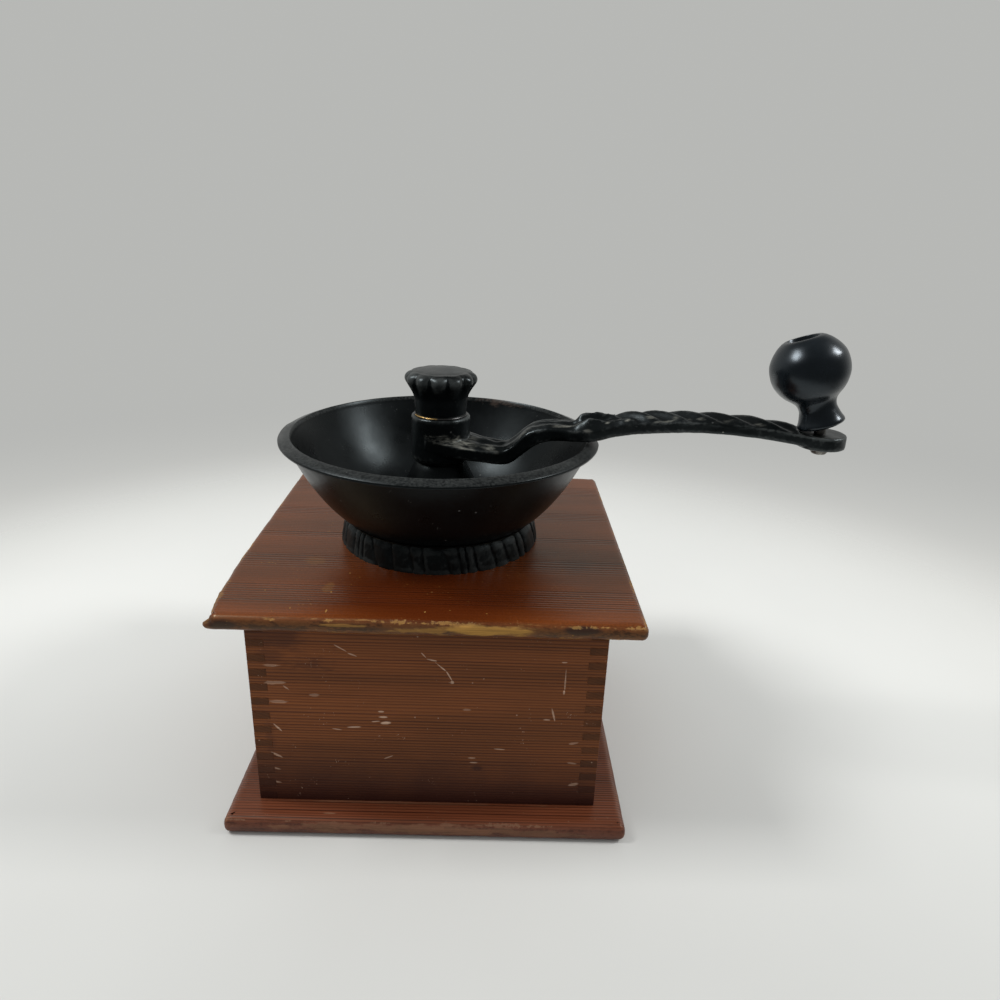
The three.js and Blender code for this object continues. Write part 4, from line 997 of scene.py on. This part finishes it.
def chip_corner(bm, low, high, depth):
    """Breaks the deck's left edge away near its front corner, but for a tip at the bottom."""
    for vert in bm.verts:
        place = vert.co
        from_front = place.y + high.y
        from_left = place.x + high.x
        if from_left > 6 * MM or from_front > CHIP_ROWS[-1][0]:
            continue
        share = through(CHIP_ROWS, from_front)[0]
        level = (place.z - low.z) / (high.z - low.z)
        tip = (1 - ease(from_front, 2.2 * MM, 5 * MM)) * (1 - ease(level, 0.35, 0.62))
        share *= 1 - 0.8 * tip
        ragged = 1 + 0.3 * wander(place, 380, 2.0)
        vert.co.x += depth * share * ragged * (1 - ease(from_left, 0.5 * MM, 6 * MM))
        at_front = 1 - ease(from_front, 0, 3 * MM)
        vert.co.y += 0.5 * depth * at_front * share * (1 - ease(from_left, 1 * MM, 5 * MM))


class GRINDER_OT_boards(bpy.types.Operator):
    """Build the base board and the deck board, with knocked edges and a broken corner"""

    bl_idname = "grinder.boards"
    bl_label = "Boards"

    def execute(self, context):
        case = context.scene.grinder_case
        for node, wood, round_over, seed in (
                ("base_board", "base wood", case.board_round, 3.0),
                ("deck_board", "deck wood", case.deck_round, 9.0)):
            low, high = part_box(node)
            bm = slab(low, high, 2.2 * MM, round_over, 2.2 * MM)
            knock_edges(bm, low, high, 0.9 * MM, seed)
            if node == "deck_board":
                chip_corner(bm, low, high, case.chip_depth)
            piece(bm, node + "_worn", "mill", wood, [node], angle=50)
        return {"FINISHED"}


class GRINDER_OT_walls(bpy.types.Operator):
    """Build the four finger-jointed walls, with a fine groove along each joint"""

    bl_idname = "grinder.walls"
    bl_label = "Walls"

    def execute(self, context):
        groove = context.scene.grinder_case.joint_groove
        for node, wood in (("front_wall", "wall wood x"), ("back_wall", "wall wood x"),
                           ("left_wall", "wall wood y"), ("right_wall", "wall wood y")):
            bm = tidied(node, groove, segments=1)
            piece(bm, node + "_jointed", "mill", wood, [node])
        return {"FINISHED"}


class GRINDER_OT_drawer(bpy.types.Operator):
    """Build the drawer with its pull, and finish the strips that guide it"""

    bl_idname = "grinder.drawer"
    bl_label = "Drawer"

    def execute(self, context):
        bm = tidied("drawer_front", 0.7 * MM, segments=3)
        piece(bm, "drawer_front_eased", "drawer", "wall wood x", ["drawer_front"])
        for node in ("drawer_left_side", "drawer_right_side", "drawer_back", "drawer_bottom"):
            bm = tidied(node, 0.35 * MM)
            piece(bm, node + "_eased", "drawer", "drawer wood", [node])
        low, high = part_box("drawer_pull")
        reach = high.y - low.y
        radius = (high.x - low.x) / 2
        shares = [i / 30 for i in range(31)]
        side = [(through(PULL_ROWS, share)[0] * radius, share * reach) for share in shares]
        bm = spun([(0, 0), *side, (0, reach)], 64)
        turned(bm, Matrix.Rotation(-math.pi / 2, 3, "X"))
        shifted(bm, 0, low.y, (low.z + high.z) / 2)
        piece(bm, "drawer_pull_turned", "drawer", "dull brass", ["drawer_pull"])
        repaint(["drawer_guide_left", "drawer_guide_right"], "drawer wood")
        repaint(["drawer_pull_screw"], "dull steel")
        return {"FINISHED"}


# The bowl and what stands in it

# Outlines as (radius, height) in millimetres. The bowl's wall follows one curve.
BOWL_WALL = 2.6 * MM
BOWL_CURVE = (mm(39.5, 10.1), mm(51.5, 17.1), mm(60.7, 33.7), mm(66.4, 46.4))
BOWL_FOOT = (mm(17.4, 0), mm(38.6, 0), mm(39.3, 0.3), mm(39.5, 1.0))
BOWL_LIP = (
    mm(67.9, 46.05), mm(69.2, 46.2), mm(69.55, 46.6), mm(69.6, 47.3), mm(69.35, 47.65),
    mm(67, 48.42), mm(65.3, 49.0), mm(64.75, 49.05), mm(64.4, 48.7))
BOWL_FLOOR = (
    mm(36.9, 7.2), mm(36.5, 4.6), mm(35.2, 3.6), mm(33.8, 3.4), mm(17.8, 3.4), mm(17.4, 3.1),
    mm(17.4, 0))


def bezier(points, t):
    """A place on a curve with four control points."""
    s = 1 - t
    return [s**3 * a + 3 * s * s * t * b + 3 * s * t * t * c + t**3 * d for a, b, c, d in zip(*points)]


class GRINDER_OT_bowl(bpy.types.Operator):
    """Build the open bowl, whose flat lip steps out along its front half"""

    bl_idname = "grinder.bowl"
    bl_label = "Bowl"

    def execute(self, context):
        iron = context.scene.grinder_iron
        low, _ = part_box("bowl")
        outer = [bezier(BOWL_CURVE, i / 28) for i in range(29)]
        inner = []
        for there, here in zip(outer, outer[1:]):
            run, climb = here[0] - there[0], here[1] - there[1]
            size = math.hypot(run, climb)
            inner.append((here[0] - climb / size * BOWL_WALL, here[1] + run / size * BOWL_WALL))
        below_lip = [point for point in reversed(inner) if point[1] < 48 * MM]
        profile = [*BOWL_FOOT, *outer, *BOWL_LIP, *below_lip, *BOWL_FLOOR]
        bm = spun([(radius, low.z + height) for radius, height in profile], 180)
        for vert in bm.verts:
            turn = math.atan2(vert.co.y, vert.co.x)
            level = ease(vert.co.z, low.z + 44 * MM, low.z + 47 * MM)
            behind = ease(math.sin(turn + math.radians(6)), -0.012, 0.012)
            flat = Vector((vert.co.x, vert.co.y, 0))
            step = -iron.lip_step * behind * level * ease(flat.length, 65.5 * MM, 68 * MM)
            uneven = 0.12 * MM * wander(vert.co, 45, 1.0) + 0.05 * MM * wander(vert.co, 160, 6.0)
            vert.co += flat.normalized() * (step + uneven * level) + UP * uneven * level
        piece(bm, "bowl_cast", "mill", "bowl iron", ["bowl"], angle=42)
        return {"FINISHED"}


class GRINDER_OT_foot_ring(bpy.types.Operator):
    """Build the pleated ring round the bowl's foot"""

    bl_idname = "grinder.foot_ring"
    bl_label = "Foot Ring"

    def execute(self, context):
        iron = context.scene.grinder_iron
        low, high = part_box("foot_ring")
        tall = high.z - low.z
        foot, top, bore = mm(44.7, 42.5, 39.85)

        def outside_at(height, turn):
            climb = height / tall
            sway = 0.05 * math.sin(5 * turn) + 0.04 * math.sin(11 * turn + 1)
            sway += 0.03 * math.sin(17 * turn + 3)
            folds = iron.pleats * (turn + sway) / FULL_TURN + 0.35 * climb
            inside = folds - math.floor(folds)
            number = math.floor(folds) % iron.pleats
            fold = math.sin(math.pi * inside**0.75) ** 0.62
            uneven = noise.noise(Vector((number * 1.7, 0.3, climb * 2)))
            depth = iron.pleat_depth * (0.8 + 0.7 * uneven)
            place = (math.cos(turn) * foot, math.sin(turn) * foot, height)
            rough = 0.14 * MM * wander(place, 260, 3.0) + 0.08 * MM * wander(place, 700, 5.0)
            crest = mix(foot, top, climb ** 1.3) - 0.9 * MM * ease(climb, 0.78, 1.0)
            foot_curl = 0.25 * MM * (1 - ease(climb, 0.0, 0.14))
            return min(foot, crest - depth * (1 - fold) + rough + foot_curl)

        def inside_at(height, _):
            return bore + max(0.0, height - 9.8 * MM) * 1.5

        steps = iron.pleats * 16
        rings = round_rings([tall * i / 16 for i in range(17)], steps, outside_at)
        rings += round_rings((tall, tall * 0.5, 0), steps, inside_at)
        bm = ringed(rings, capped=False)
        shifted(bm, 0, 0, low.z)
        with_relief(bm, 4, 0.12 * MM)
        piece(bm, "foot_ring_pleated", "mill", "ring iron", ["foot_ring"], angle=60)
        return {"FINISHED"}


def window_cutter(bottom, turn):
    """An arch that cuts a feed window through the bridge's wall."""
    bm = bmesh.new()
    half, tall, sill = 7.5 * MM, 16 * MM, bottom + 3.9 * MM
    right = [(out * half, sill + up * tall) for out, up in (
        (1, 0), (0.96, 0.32), (0.9, 0.63), (0.76, 0.82), (0.44, 0.95), (0, 1))]
    points = right + [(-x, z) for x, z in reversed(right[:-1])]
    face = bm.faces.new([bm.verts.new((x, 0, z)) for x, z in points])
    grown = bmesh.ops.extrude_face_region(bm, geom=[face])["geom"]
    far = [item for item in grown if isinstance(item, bmesh.types.BMVert)]
    bmesh.ops.translate(bm, vec=(0, 27 * MM, 0), verts=far)
    turned(bm, Matrix.Rotation(turn - math.pi / 2, 3, "Z"))
    bmesh.ops.recalc_face_normals(bm, faces=bm.faces)
    return placed("window", meshed(bm, "window"))


class GRINDER_OT_bearing(bpy.types.Operator):
    """Build the bearing bridge with its feed windows, and finish what it holds"""

    bl_idname = "grinder.bearing"
    bl_label = "Bearing"

    def execute(self, context):
        low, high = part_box("bearing_bridge")
        tall = high.z - low.z
        flange, collar = 2.4 * MM, tall - 9 * MM
        rows = [(mix(flange, tall, climb), mix(11, 20.8, spread) * MM) for climb, spread in (
            (0, 1), (0.3, 0.88), (0.55, 0.64), (0.78, 0.33), (1, 0))]
        levels = [mix(flange, tall, i / 24) for i in range(25)]
        bell = [(through(rows, level)[0], level) for level in levels]
        bell[0] = (bell[0][0] + 0.5 * MM, bell[0][1])
        inside = [(radius - 2.8 * MM, height) for radius, height in bell if height < 22.5 * MM]
        profile = [
            mm(18.0, 0), mm(28.3, 0), mm(28.75, 0.4), mm(28.75, 2.0), mm(28.3, 2.4), *bell[:-1],
            (bell[-1][0] - 0.3 * MM, tall), (6.4 * MM, tall), (6.4 * MM, collar),
            (inside[-1][0], collar), *reversed(inside), mm(18.0, 0)]
        bm = spun(profile, 96)
        made = piece(bm, "bearing_bridge_cast", "mill", "bowl iron", ["bearing_bridge"])
        made.data.transform(Matrix.Translation((0, 0, low.z)))
        cutters = [window_cutter(low.z, math.radians(angle)) for angle in (90, 210, 330)]
        for cutter in cutters:
            cut = made.modifiers.new("window", "BOOLEAN")
            cut.operation = "DIFFERENCE"
            cut.solver = "EXACT"
            cut.object = cutter
        apply_modifiers(made)
        for cutter in cutters:
            bpy.data.objects.remove(cutter)
        repaint(["spindle_bush"], "dull brass")
        repaint(["lower_strap"], "bowl iron")
        repaint(["outer_burr", "inner_burr"], "burr iron")
        repaint(["spindle", "burr_nut"], "dull steel")
        return {"FINISHED"}


class GRINDER_OT_screws(bpy.types.Operator):
    """Build the slotted screws in the bowl and finish the hidden ones"""

    bl_idname = "grinder.screws"
    bl_label = "Screws"

    def execute(self, context):
        half = 0.42 * MM
        heads = [("bowl", 2.2 * MM, 1.3 * MM)] * 3 + [("bridge", 1.9 * MM, 1.5 * MM)] * 3
        for number, (kind, head, shank) in enumerate(heads):
            node = f"{kind}_screw_{number % 3 + 1}"
            low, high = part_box(node)
            radius = (high.y - low.y) / 2
            neck = high.z - head
            floor = neck + 0.6 * MM
            dome = [
                (radius * math.cos(a), neck + 0.5 * MM + (head - 0.5 * MM) * math.sin(a))
                for a in (math.pi / 2 * i / 8 for i in range(9))]
            bm = spun([(0, low.z), (shank, low.z + 1 * MM), (shank, neck), (radius, neck), *dome], 32)
            for at in (-half, -half * 0.9, half, half * 0.9):
                sliced(bm, 0, at, 0.0001 * MM)
            for vert in bm.verts:
                if abs(vert.co.x) < half * 0.95 and vert.co.z > floor:
                    vert.co.z = max(floor, vert.co.z - 0.95 * MM)
            turned(bm, Matrix.Rotation(0.7 + 1.9 * number, 3, "Z"))
            centre = (low + high) / 2
            shifted(bm, centre.x, centre.y, 0)
            piece(bm, node + "_slotted", "mill", "dull steel", [node])
        hidden = [f"base_screw_{i}" for i in (1, 2, 3, 4)] + ["strap_screw_1", "strap_screw_2"]
        repaint(hidden, "dull steel")
        return {"FINISHED"}


# The crank and its knob

# Sections of the crank's arm. Each row holds, as shares: how far along the reach, the
# underside's height in the rise, the side, the crown and the half width.
ARM_ROWS = (
    (-0.026, 0.225, 1.12, 0.6, 1.8), (0, 0.185, 1.14, 0.8, 1.87), (0.063, 0.1, 1.1, 1.1, 1.74),
    (0.121, 0.04, 1.08, 1.07, 1.37), (0.178, 0, 1.16, 0.95, 1.14), (0.206, 0.05, 1.4, 0.95, 1.09),
    (0.243, 0.283, 1.58, 0.98, 1.06), (0.27, 0.45, 1.32, 0.9, 1.04), (0.3, 0.55, 1.12, 0.8, 1.04),
    (0.34, 0.595, 0.98, 0.76, 1.07), (0.37, 0.604, 0.94, 0.95, 1.12), (0.386, 0.608, 0.94, 1.9, 1.15),
    (0.402, 0.613, 0.95, 2.3, 1.16), (0.424, 0.634, 0.97, 2.1, 1.12), (0.445, 0.67, 0.97, 1.65, 1.07),
    (0.47, 0.735, 0.92, 1.4, 1.03), (0.521, 0.822, 0.94, 1.38, 1), (0.571, 0.88, 0.92, 1.26, 1),
    (0.648, 0.943, 0.9, 1.12, 1), (0.724, 0.973, 0.87, 1.05, 1), (0.825, 0.957, 0.89, 0.99, 1),
    (0.902, 0.91, 0.87, 0.87, 1), (0.952, 0.866, 0.92, 0.65, 1.08), (1, 0.82, 1.04, 0.2, 1.3),
)
ARM_FOOT = 2.1 * MM
ARM_RISE = 21.2 * MM
ARM_SIDE = 5 * MM
ARM_CROWN = 3 * MM
ARM_HALF_WIDTH = 7 * MM
BOSS_SHARE = 0.82
BOSS_TALL = 5.7 * MM
# Where the rope's grooves cross the arm's middle, as shares of its reach
GROOVES = (0.478, 0.551, 0.62, 0.7, 0.777, 0.87, 0.955, 1.04, 1.13)
AZIMUTH = Matrix.Rotation(math.radians(-10), 3, "Z")
# The cap nut's outline, as shares of its height, of its spread and of its lobes
NUT_ROWS = (
    (0, 0, 0), (0.3, 0.1, 0), (0.42, 0.18, 0.05), (0.54, 0.42, 0.3), (0.66, 0.76, 0.75),
    (0.77, 1, 1), (0.87, 0.95, 0.95), (0.95, 0.62, 0.6), (1, 0, 0),
)
NUT_WIDEST = 0.77
# The knob's outline, as shares of its height and of its radius
KNOB_ROWS = (
    (0, 0.36), (0.012, 0.47), (0.026, 0.555), (0.043, 0.597), (0.068, 0.59), (0.105, 0.55),
    (0.159, 0.507), (0.229, 0.473), (0.308, 0.532), (0.399, 0.754), (0.465, 0.87), (0.551, 0.965),
    (0.653, 1), (0.774, 0.965), (0.857, 0.865), (0.939, 0.7), (0.982, 0.57), (1, 0.49),
)
PIVOT_RISE = 1 * MM


def rope_crown(share, across):
    """How much of the crown stands at a place on the arm's top, and how far a strand bulges."""
    place = share + 0.062 * across
    if place < GROOVES[0]:
        rib = 1 - 0.2 * (1 - math.cos(3 * math.pi * across)) * (1 - ease(abs(across), 0.75, 1.0))
        chased = 0.26 * noise.noise(Vector((26 * share, 2.6 * across, 0.4)))
        chased += 0.13 * noise.noise(Vector((55 * share, 6 * across, 7.1)))
        return rib + chased * ease(share, 0.05, 0.12), 0.0
    later = next(k for k, groove in enumerate(GROOVES) if place < groove)
    strand = (place - GROOVES[later - 1]) / (GROOVES[later] - GROOVES[later - 1])
    lobe = math.sin(math.pi * strand ** 1.7) ** 0.85
    fade = 1 - ease(share, 0.93, 0.99)
    return 1 - 0.66 * (1 - lobe) * fade, lobe * fade


def arm_section(along, reach, bottom):
    """One ring of points round the arm at a distance from the spindle's axis."""
    under, side, crown, width = through(ARM_ROWS, along / reach)
    low = bottom + ARM_FOOT + ARM_RISE * under
    edge = low + ARM_SIDE * side
    half = ARM_HALF_WIDTH * width
    chamfer = 0.9 * MM
    ring = [(-half + chamfer, low), (half - chamfer, low), (half, low + chamfer),
            (half, (low + edge) / 2), (half, edge - 0.5 * MM)]
    steps = 17
    for i in range(steps):
        across = 1 - 2 * i / (steps - 1)
        share, bulge = rope_crown(along / reach, across)
        rise = ARM_CROWN * crown * (1 - abs(across) ** 2.4) * share
        outward = 0.35 * MM * bulge * ease(abs(across), 0.6, 1.0)
        ring.append(((half + outward) * across, edge + rise))
    ring += [(-half, edge - 0.5 * MM), (-half, (low + edge) / 2), (-half, low + chamfer)]
    return [(along, y, z) for y, z in ring]


class GRINDER_OT_crank(bpy.types.Operator):
    """Build the crank as one casting: hub, arm with leaf and rope twist, and boss"""

    bl_idname = "grinder.crank"
    bl_label = "Crank"

    def execute(self, context):
        crank = context.scene.grinder_crank
        reach = crank.reach
        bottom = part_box("crank_arm")[0].z
        bm = ringed(
            [arm_section(mix(-4 * MM, reach, i / 260), reach, bottom) for i in range(261)],
            capped=True)
        hub = spun(outline(
            bottom, (0, 0), (11.0, 0), (11.6, 0.35), (12.7, 2.0), (12.9, 2.8), (12.9, 20.0),
            (12.6, 20.65), (12.1, 20.9), (0, 20.9)), 96)
        boss_low = bottom + ARM_FOOT + ARM_RISE * BOSS_SHARE
        boss_top = boss_low + BOSS_TALL
        boss = spun(outline(
            boss_low, (0, 0), (9.0, 0), (9.6, 0.3), (9.74, 0.9), (9.74, 4.8), (9.6, 5.4),
            (9.0, 5.7), (0, 5.7)), 72)
        shifted(boss, reach, 0, 0)
        for vert in bm.verts:
            if (vert.co - Vector((reach, 0, vert.co.z))).length < 10.4 * MM:
                vert.co.z = min(vert.co.z, boss_top - 0.1 * MM)
        for part in (hub, boss):
            part_mesh = meshed(part, "part")
            bm.from_mesh(part_mesh)
            bpy.data.meshes.remove(part_mesh)
        turned(bm, AZIMUTH)
        made = piece(bm, "crank_cast", "crank", "crank iron", ["crank_arm"])
        grown = made.modifiers.new("casting", "REMESH")
        grown.mode = "VOXEL"
        grown.voxel_size = crank.voxel
        apply_modifiers(made)
        bm = bmesh.new()
        bm.from_mesh(made.data)
        for _ in range(3):
            bmesh.ops.smooth_vert(
                bm, verts=bm.verts, factor=0.5, use_axis_x=True, use_axis_y=True, use_axis_z=True)
        for vert in bm.verts:
            dent = 0.09 * MM * wander(vert.co, 190, 4.0) + 0.05 * MM * wander(vert.co, 520, 7.0)
            vert.co += vert.normal * dent
        with_relief(bm, 9, 0.3 * MM)
        smooth_by_angle(bm, 80)
        bm.to_mesh(made.data)
        bm.free()
        return {"FINISHED"}


class GRINDER_OT_cap_nut(bpy.types.Operator):
    """Build the scalloped cap nut and the brass washer under it"""

    bl_idname = "grinder.cap_nut"
    bl_label = "Cap Nut"

    def execute(self, context):
        lobes = context.scene.grinder_crank.lobes
        low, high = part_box("cap_nut")
        tall = high.z - low.z
        neck, rim, top = mm(11.1, 15.65, 10.4)
        crown = tall - 0.42 * MM

        def radius_at(height, turn):
            share = height / tall
            spread, lobe = through(NUT_ROWS, share)
            over = max(0.0, share - NUT_WIDEST) / (1 - NUT_WIDEST)
            petal = 1 - abs(math.cos(lobes * turn / 2)) ** 1.05
            base = mix(mix(neck, top, over), rim, max(0.0, spread))
            return base - 1.5 * MM * max(0.0, lobe) * petal

        heights = [tall * share for share in (*(i / 34 for i in range(34)), 0.978, 0.99, 1.0)]
        rings = round_rings(heights, lobes * 14, radius_at)
        rings = [[(x, y, min(z, crown)) for x, y, z in ring] for ring in rings]
        edge = rings[-1]
        for share, rise in ((0.93, 0.12), (0.7, 0.3), (0.35, 0.4), (0.08, 0.42)):
            rings.append([(x * share, y * share, crown + rise * MM) for x, y, _ in edge])
        bm = ringed(rings, capped=True)
        shifted(bm, 0, 0, low.z)
        for vert in bm.verts:
            vert.co += vert.normal * 0.1 * MM * wander(vert.co, 240, 8.0)
        with_relief(bm, 7, 0.25 * MM)
        piece(bm, "cap_nut_cast", "cap_nut", "crank iron", ["cap_nut"], angle=60)
        low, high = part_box("crank_washer")
        bore, side, bulge = mm(3.2, 11.5, 11.7)
        bm = spun([
            (bore, low.z), (side, low.z), (bulge, (low.z + high.z) / 2), (side, high.z),
            (bore, high.z), (bore, low.z)], 96)
        piece(bm, "crank_washer_worn", "crank", "washer brass", ["crank_washer"])
        return {"FINISHED"}


class GRINDER_OT_knob(bpy.types.Operator):
    """Build the turned knob, leaning on the pin that it turns on"""

    bl_idname = "grinder.knob"
    bl_label = "Knob"

    def execute(self, context):
        height, radius, well, bore, web = mm(36.65, 15.25, 6, 3.4, 3)
        joint = next(j for j in frame["joints"] if j["name"] == "knob_spin")
        axis = Vector(joint["axis"]).normalized()
        foot = Vector(joint["pos_m"]) - axis * PIVOT_RISE
        outer = [(through(KNOB_ROWS, i / 70)[0] * radius, i / 70 * height) for i in range(71)]
        outer[-1] = (outer[-1][0] - 0.1 * MM, outer[-1][1])
        bm = spun([
            (bore, 0), *outer, (well + 0.25 * MM, height), (well, height - 0.4 * MM),
            (well, web), (bore, web), (bore, 0)], 112)
        turned(bm, UP.rotation_difference(axis).to_matrix())
        shifted(bm, *foot)
        piece(bm, "knob_turned", "knob", "knob paint", ["knob"], angle=50)

        low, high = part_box("knob_pin")
        reach = context.scene.grinder_crank.reach - 0.7 * MM
        boss_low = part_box("crank_arm")[0].z + ARM_FOOT + ARM_RISE * BOSS_SHARE
        tail_top = boss_low - 0.05 * MM
        head_low = high.z - 1.6 * MM
        shank = spun([
            (0, low.z + 1 * MM), (2.25 * MM, low.z + 1 * MM), (2.25 * MM, head_low),
            (3.6 * MM, head_low), (3.8 * MM, head_low + 0.3 * MM), (3.5 * MM, high.z - 0.4 * MM),
            (2.4 * MM, high.z), (0, high.z)], 40)
        tail = spun([
            *outline(low.z, (0, 0.15), (1.9, 0), (2.7, 0.15), (3.3, 0.9), (3.5, 1.8)),
            (3.45 * MM, tail_top), (0, tail_top)], 40)
        shifted(tail, 0.9 * MM, 0, 0)
        for vert in tail.verts:
            hammered = 0.12 * MM * wander(vert.co, 500, 1.0)
            vert.co.z += hammered * (1 - ease(vert.co.z, low.z, tail_top))
        for bm in (shank, tail):
            shifted(bm, reach, 0, 0)
            turned(bm, AZIMUTH)
        piece(shank, "knob_pin_shank", "crank", "dull steel", ["knob_pin"])
        piece(tail, "knob_pin_tail", "crank", "dull steel")
        return {"FINISHED"}


# Stage

CAMERA_PLACE = Vector((0.021524, -0.323365, 0.243456))
CAMERA_PITCH = math.radians(21.082)
CAMERA_YAW = math.radians(-1.022)
CAMERA_ROLL = math.radians(-2.057)
FOCAL_SHARE = 0.75728
SENSOR = 36.0
LAMP_TARGET = Vector((0, 0, 0.08))


def camera_matrix():
    """Where the photograph was taken from."""
    pitch, roll = CAMERA_PITCH, CAMERA_ROLL
    spin = Matrix.Rotation(CAMERA_YAW, 3, "Z")
    right = spin @ Vector((1, 0, 0))
    ahead = spin @ Vector((0, math.cos(pitch), -math.sin(pitch)))
    down = spin @ Vector((0, -math.sin(pitch), -math.cos(pitch)))
    across = math.cos(roll) * right + math.sin(roll) * down
    below = -math.sin(roll) * right + math.cos(roll) * down
    facing_camera = Matrix((across, -below, -ahead)).transposed().to_4x4()
    return Matrix.Translation(CAMERA_PLACE) @ facing_camera


def aimed_lamp(name, place, watts, width, depth):
    """A soft rectangular lamp that looks at the grinder."""
    data = bpy.data.lights.new(name, "AREA")
    data.shape = "RECTANGLE"
    data.size, data.size_y = width, depth
    data.energy = watts
    lamp = placed(name, data)
    lamp.location = place
    lamp.rotation_euler = (LAMP_TARGET - Vector(place)).to_track_quat("-Z", "Y").to_euler()


def floor_material(tint):
    """A pale floor with painted shade towards the front, that fades into the backdrop."""
    made, net, shader, place = start_material()
    made.name = "pale floor"
    # Painted shade: the floor's colour is darker towards the front, on the camera's side
    painted_front_shade = net.ease(net.parts(place)[1], -0.2, 0.1, 0.83, 1.04)
    shade = net.ease(net.noise(place, 6.0, 3.0), 0.3, 0.7, 0.97, 1.0) * painted_front_shade
    net.feed(shader, {
        "Base Color": net.shaded(tint, shade), "Roughness": 0.6, "Specular IOR Level": 0.2,
        "Alpha": 1.0 - net.ease(net.vector("LENGTH", place), 0.24, 0.5)})
    return made


def surroundings(stage):
    """Even light from all round, with a backdrop that the camera and glossy surfaces see."""
    world = bpy.data.worlds.new("surroundings")
    world.use_nodes = True
    world.node_tree.nodes.clear()
    net = Net(world.node_tree)
    _, y, z = net.parts(net.output("TexCoord", {}, "Generated"))
    glow = net.ease(z, 0.35, 0.85, 0.0, stage.overhead) + stage.surround
    light = net.output("Background", {"Color": (0.95, 0.98, 1.0), "Strength": glow})
    paths = net.node("LightPath", {}).outputs
    to_camera, glossy = (Value(net, paths[name]) for name in ("Is Camera Ray", "Is Glossy Ray"))
    mirrored = net.greater(net.ease(y, -0.35, 0.5, 0.78, 0.0), net.ease(z, 0.35, 0.8, 0.0, 0.72))
    backdrop = net.output("Background", {
        "Color": net.mixed(net.ease(z, -0.45, -0.24), stage.far_colour, stage.wall_colour),
        "Strength": 1.0 - mirrored * glossy})
    chosen = net.output("MixShader", {0: net.greater(to_camera, glossy), 1: light, 2: backdrop})
    net.node("OutputWorld", {"Surface": chosen})
    return world


class GRINDER_OT_stage(bpy.types.Operator):
    """Lay the floor, set the lamps and the surroundings, and place the camera"""

    bl_idname = "grinder.stage"
    bl_label = "Stage"

    def execute(self, context):
        scene = context.scene
        stage = scene.grinder_stage
        bm = bmesh.new()
        bmesh.ops.create_circle(bm, cap_ends=True, segments=96, radius=1.4)
        mesh = meshed(bm, "floor")
        mesh.transform(Matrix.Translation((0, 0, -0.1 * MM)))
        mesh.materials.append(floor_material(stage.floor_colour))
        placed("floor", mesh)
        scene.world = surroundings(stage)
        aimed_lamp("key", (-0.72, -0.06, 1.0), stage.key_watts, 0.34, 0.34)
        aimed_lamp("second", (0.92, -0.03, 0.88), stage.fill_watts, 0.28, 0.34)
        data = bpy.data.cameras.new("photographer")
        data.sensor_width = SENSOR
        data.lens = FOCAL_SHARE * SENSOR
        data.clip_start, data.clip_end = 0.01, 50
        camera = placed("photographer", data)
        camera.matrix_world = camera_matrix()
        scene.camera = camera
        scene.view_settings.view_transform = "Standard"
        return {"FINISHED"}


# Add-on

STEPS = (
    GRINDER_OT_boards, GRINDER_OT_walls, GRINDER_OT_drawer, GRINDER_OT_bowl, GRINDER_OT_foot_ring,
    GRINDER_OT_bearing, GRINDER_OT_screws, GRINDER_OT_crank, GRINDER_OT_cap_nut, GRINDER_OT_knob,
    GRINDER_OT_stage,
)
SETTINGS = {
    "grinder_case": CaseSettings, "grinder_iron": IronSettings, "grinder_crank": CrankSettings,
    "grinder_stage": StageSettings,
}


class GRINDER_PT_panel(bpy.types.Panel):
    """Settings and building steps of the coffee grinder"""

    bl_label = "Coffee Grinder"
    bl_idname = "GRINDER_PT_panel"
    bl_space_type = "VIEW_3D"
    bl_region_type = "UI"
    bl_category = "Grinder"

    def draw(self, context):
        for holder, settings in SETTINGS.items():
            group = getattr(context.scene, holder)
            for name in settings.__annotations__:
                self.layout.prop(group, name)
        for step in STEPS:
            self.layout.operator(step.bl_idname)


def register():
    for cls in (*SETTINGS.values(), *STEPS, GRINDER_PT_panel):
        bpy.utils.register_class(cls)
    for holder, settings in SETTINGS.items():
        setattr(bpy.types.Scene, holder, PointerProperty(type=settings))


def unregister():
    for holder in SETTINGS:
        delattr(bpy.types.Scene, holder)
    for cls in reversed((*SETTINGS.values(), *STEPS, GRINDER_PT_panel)):
        bpy.utils.unregister_class(cls)


def main():
    register()
    for step in STEPS:
        group_name, operator_name = step.bl_idname.split(".")
        getattr(getattr(bpy.ops, group_name), operator_name)()


if __name__ == "__main__":
    main()
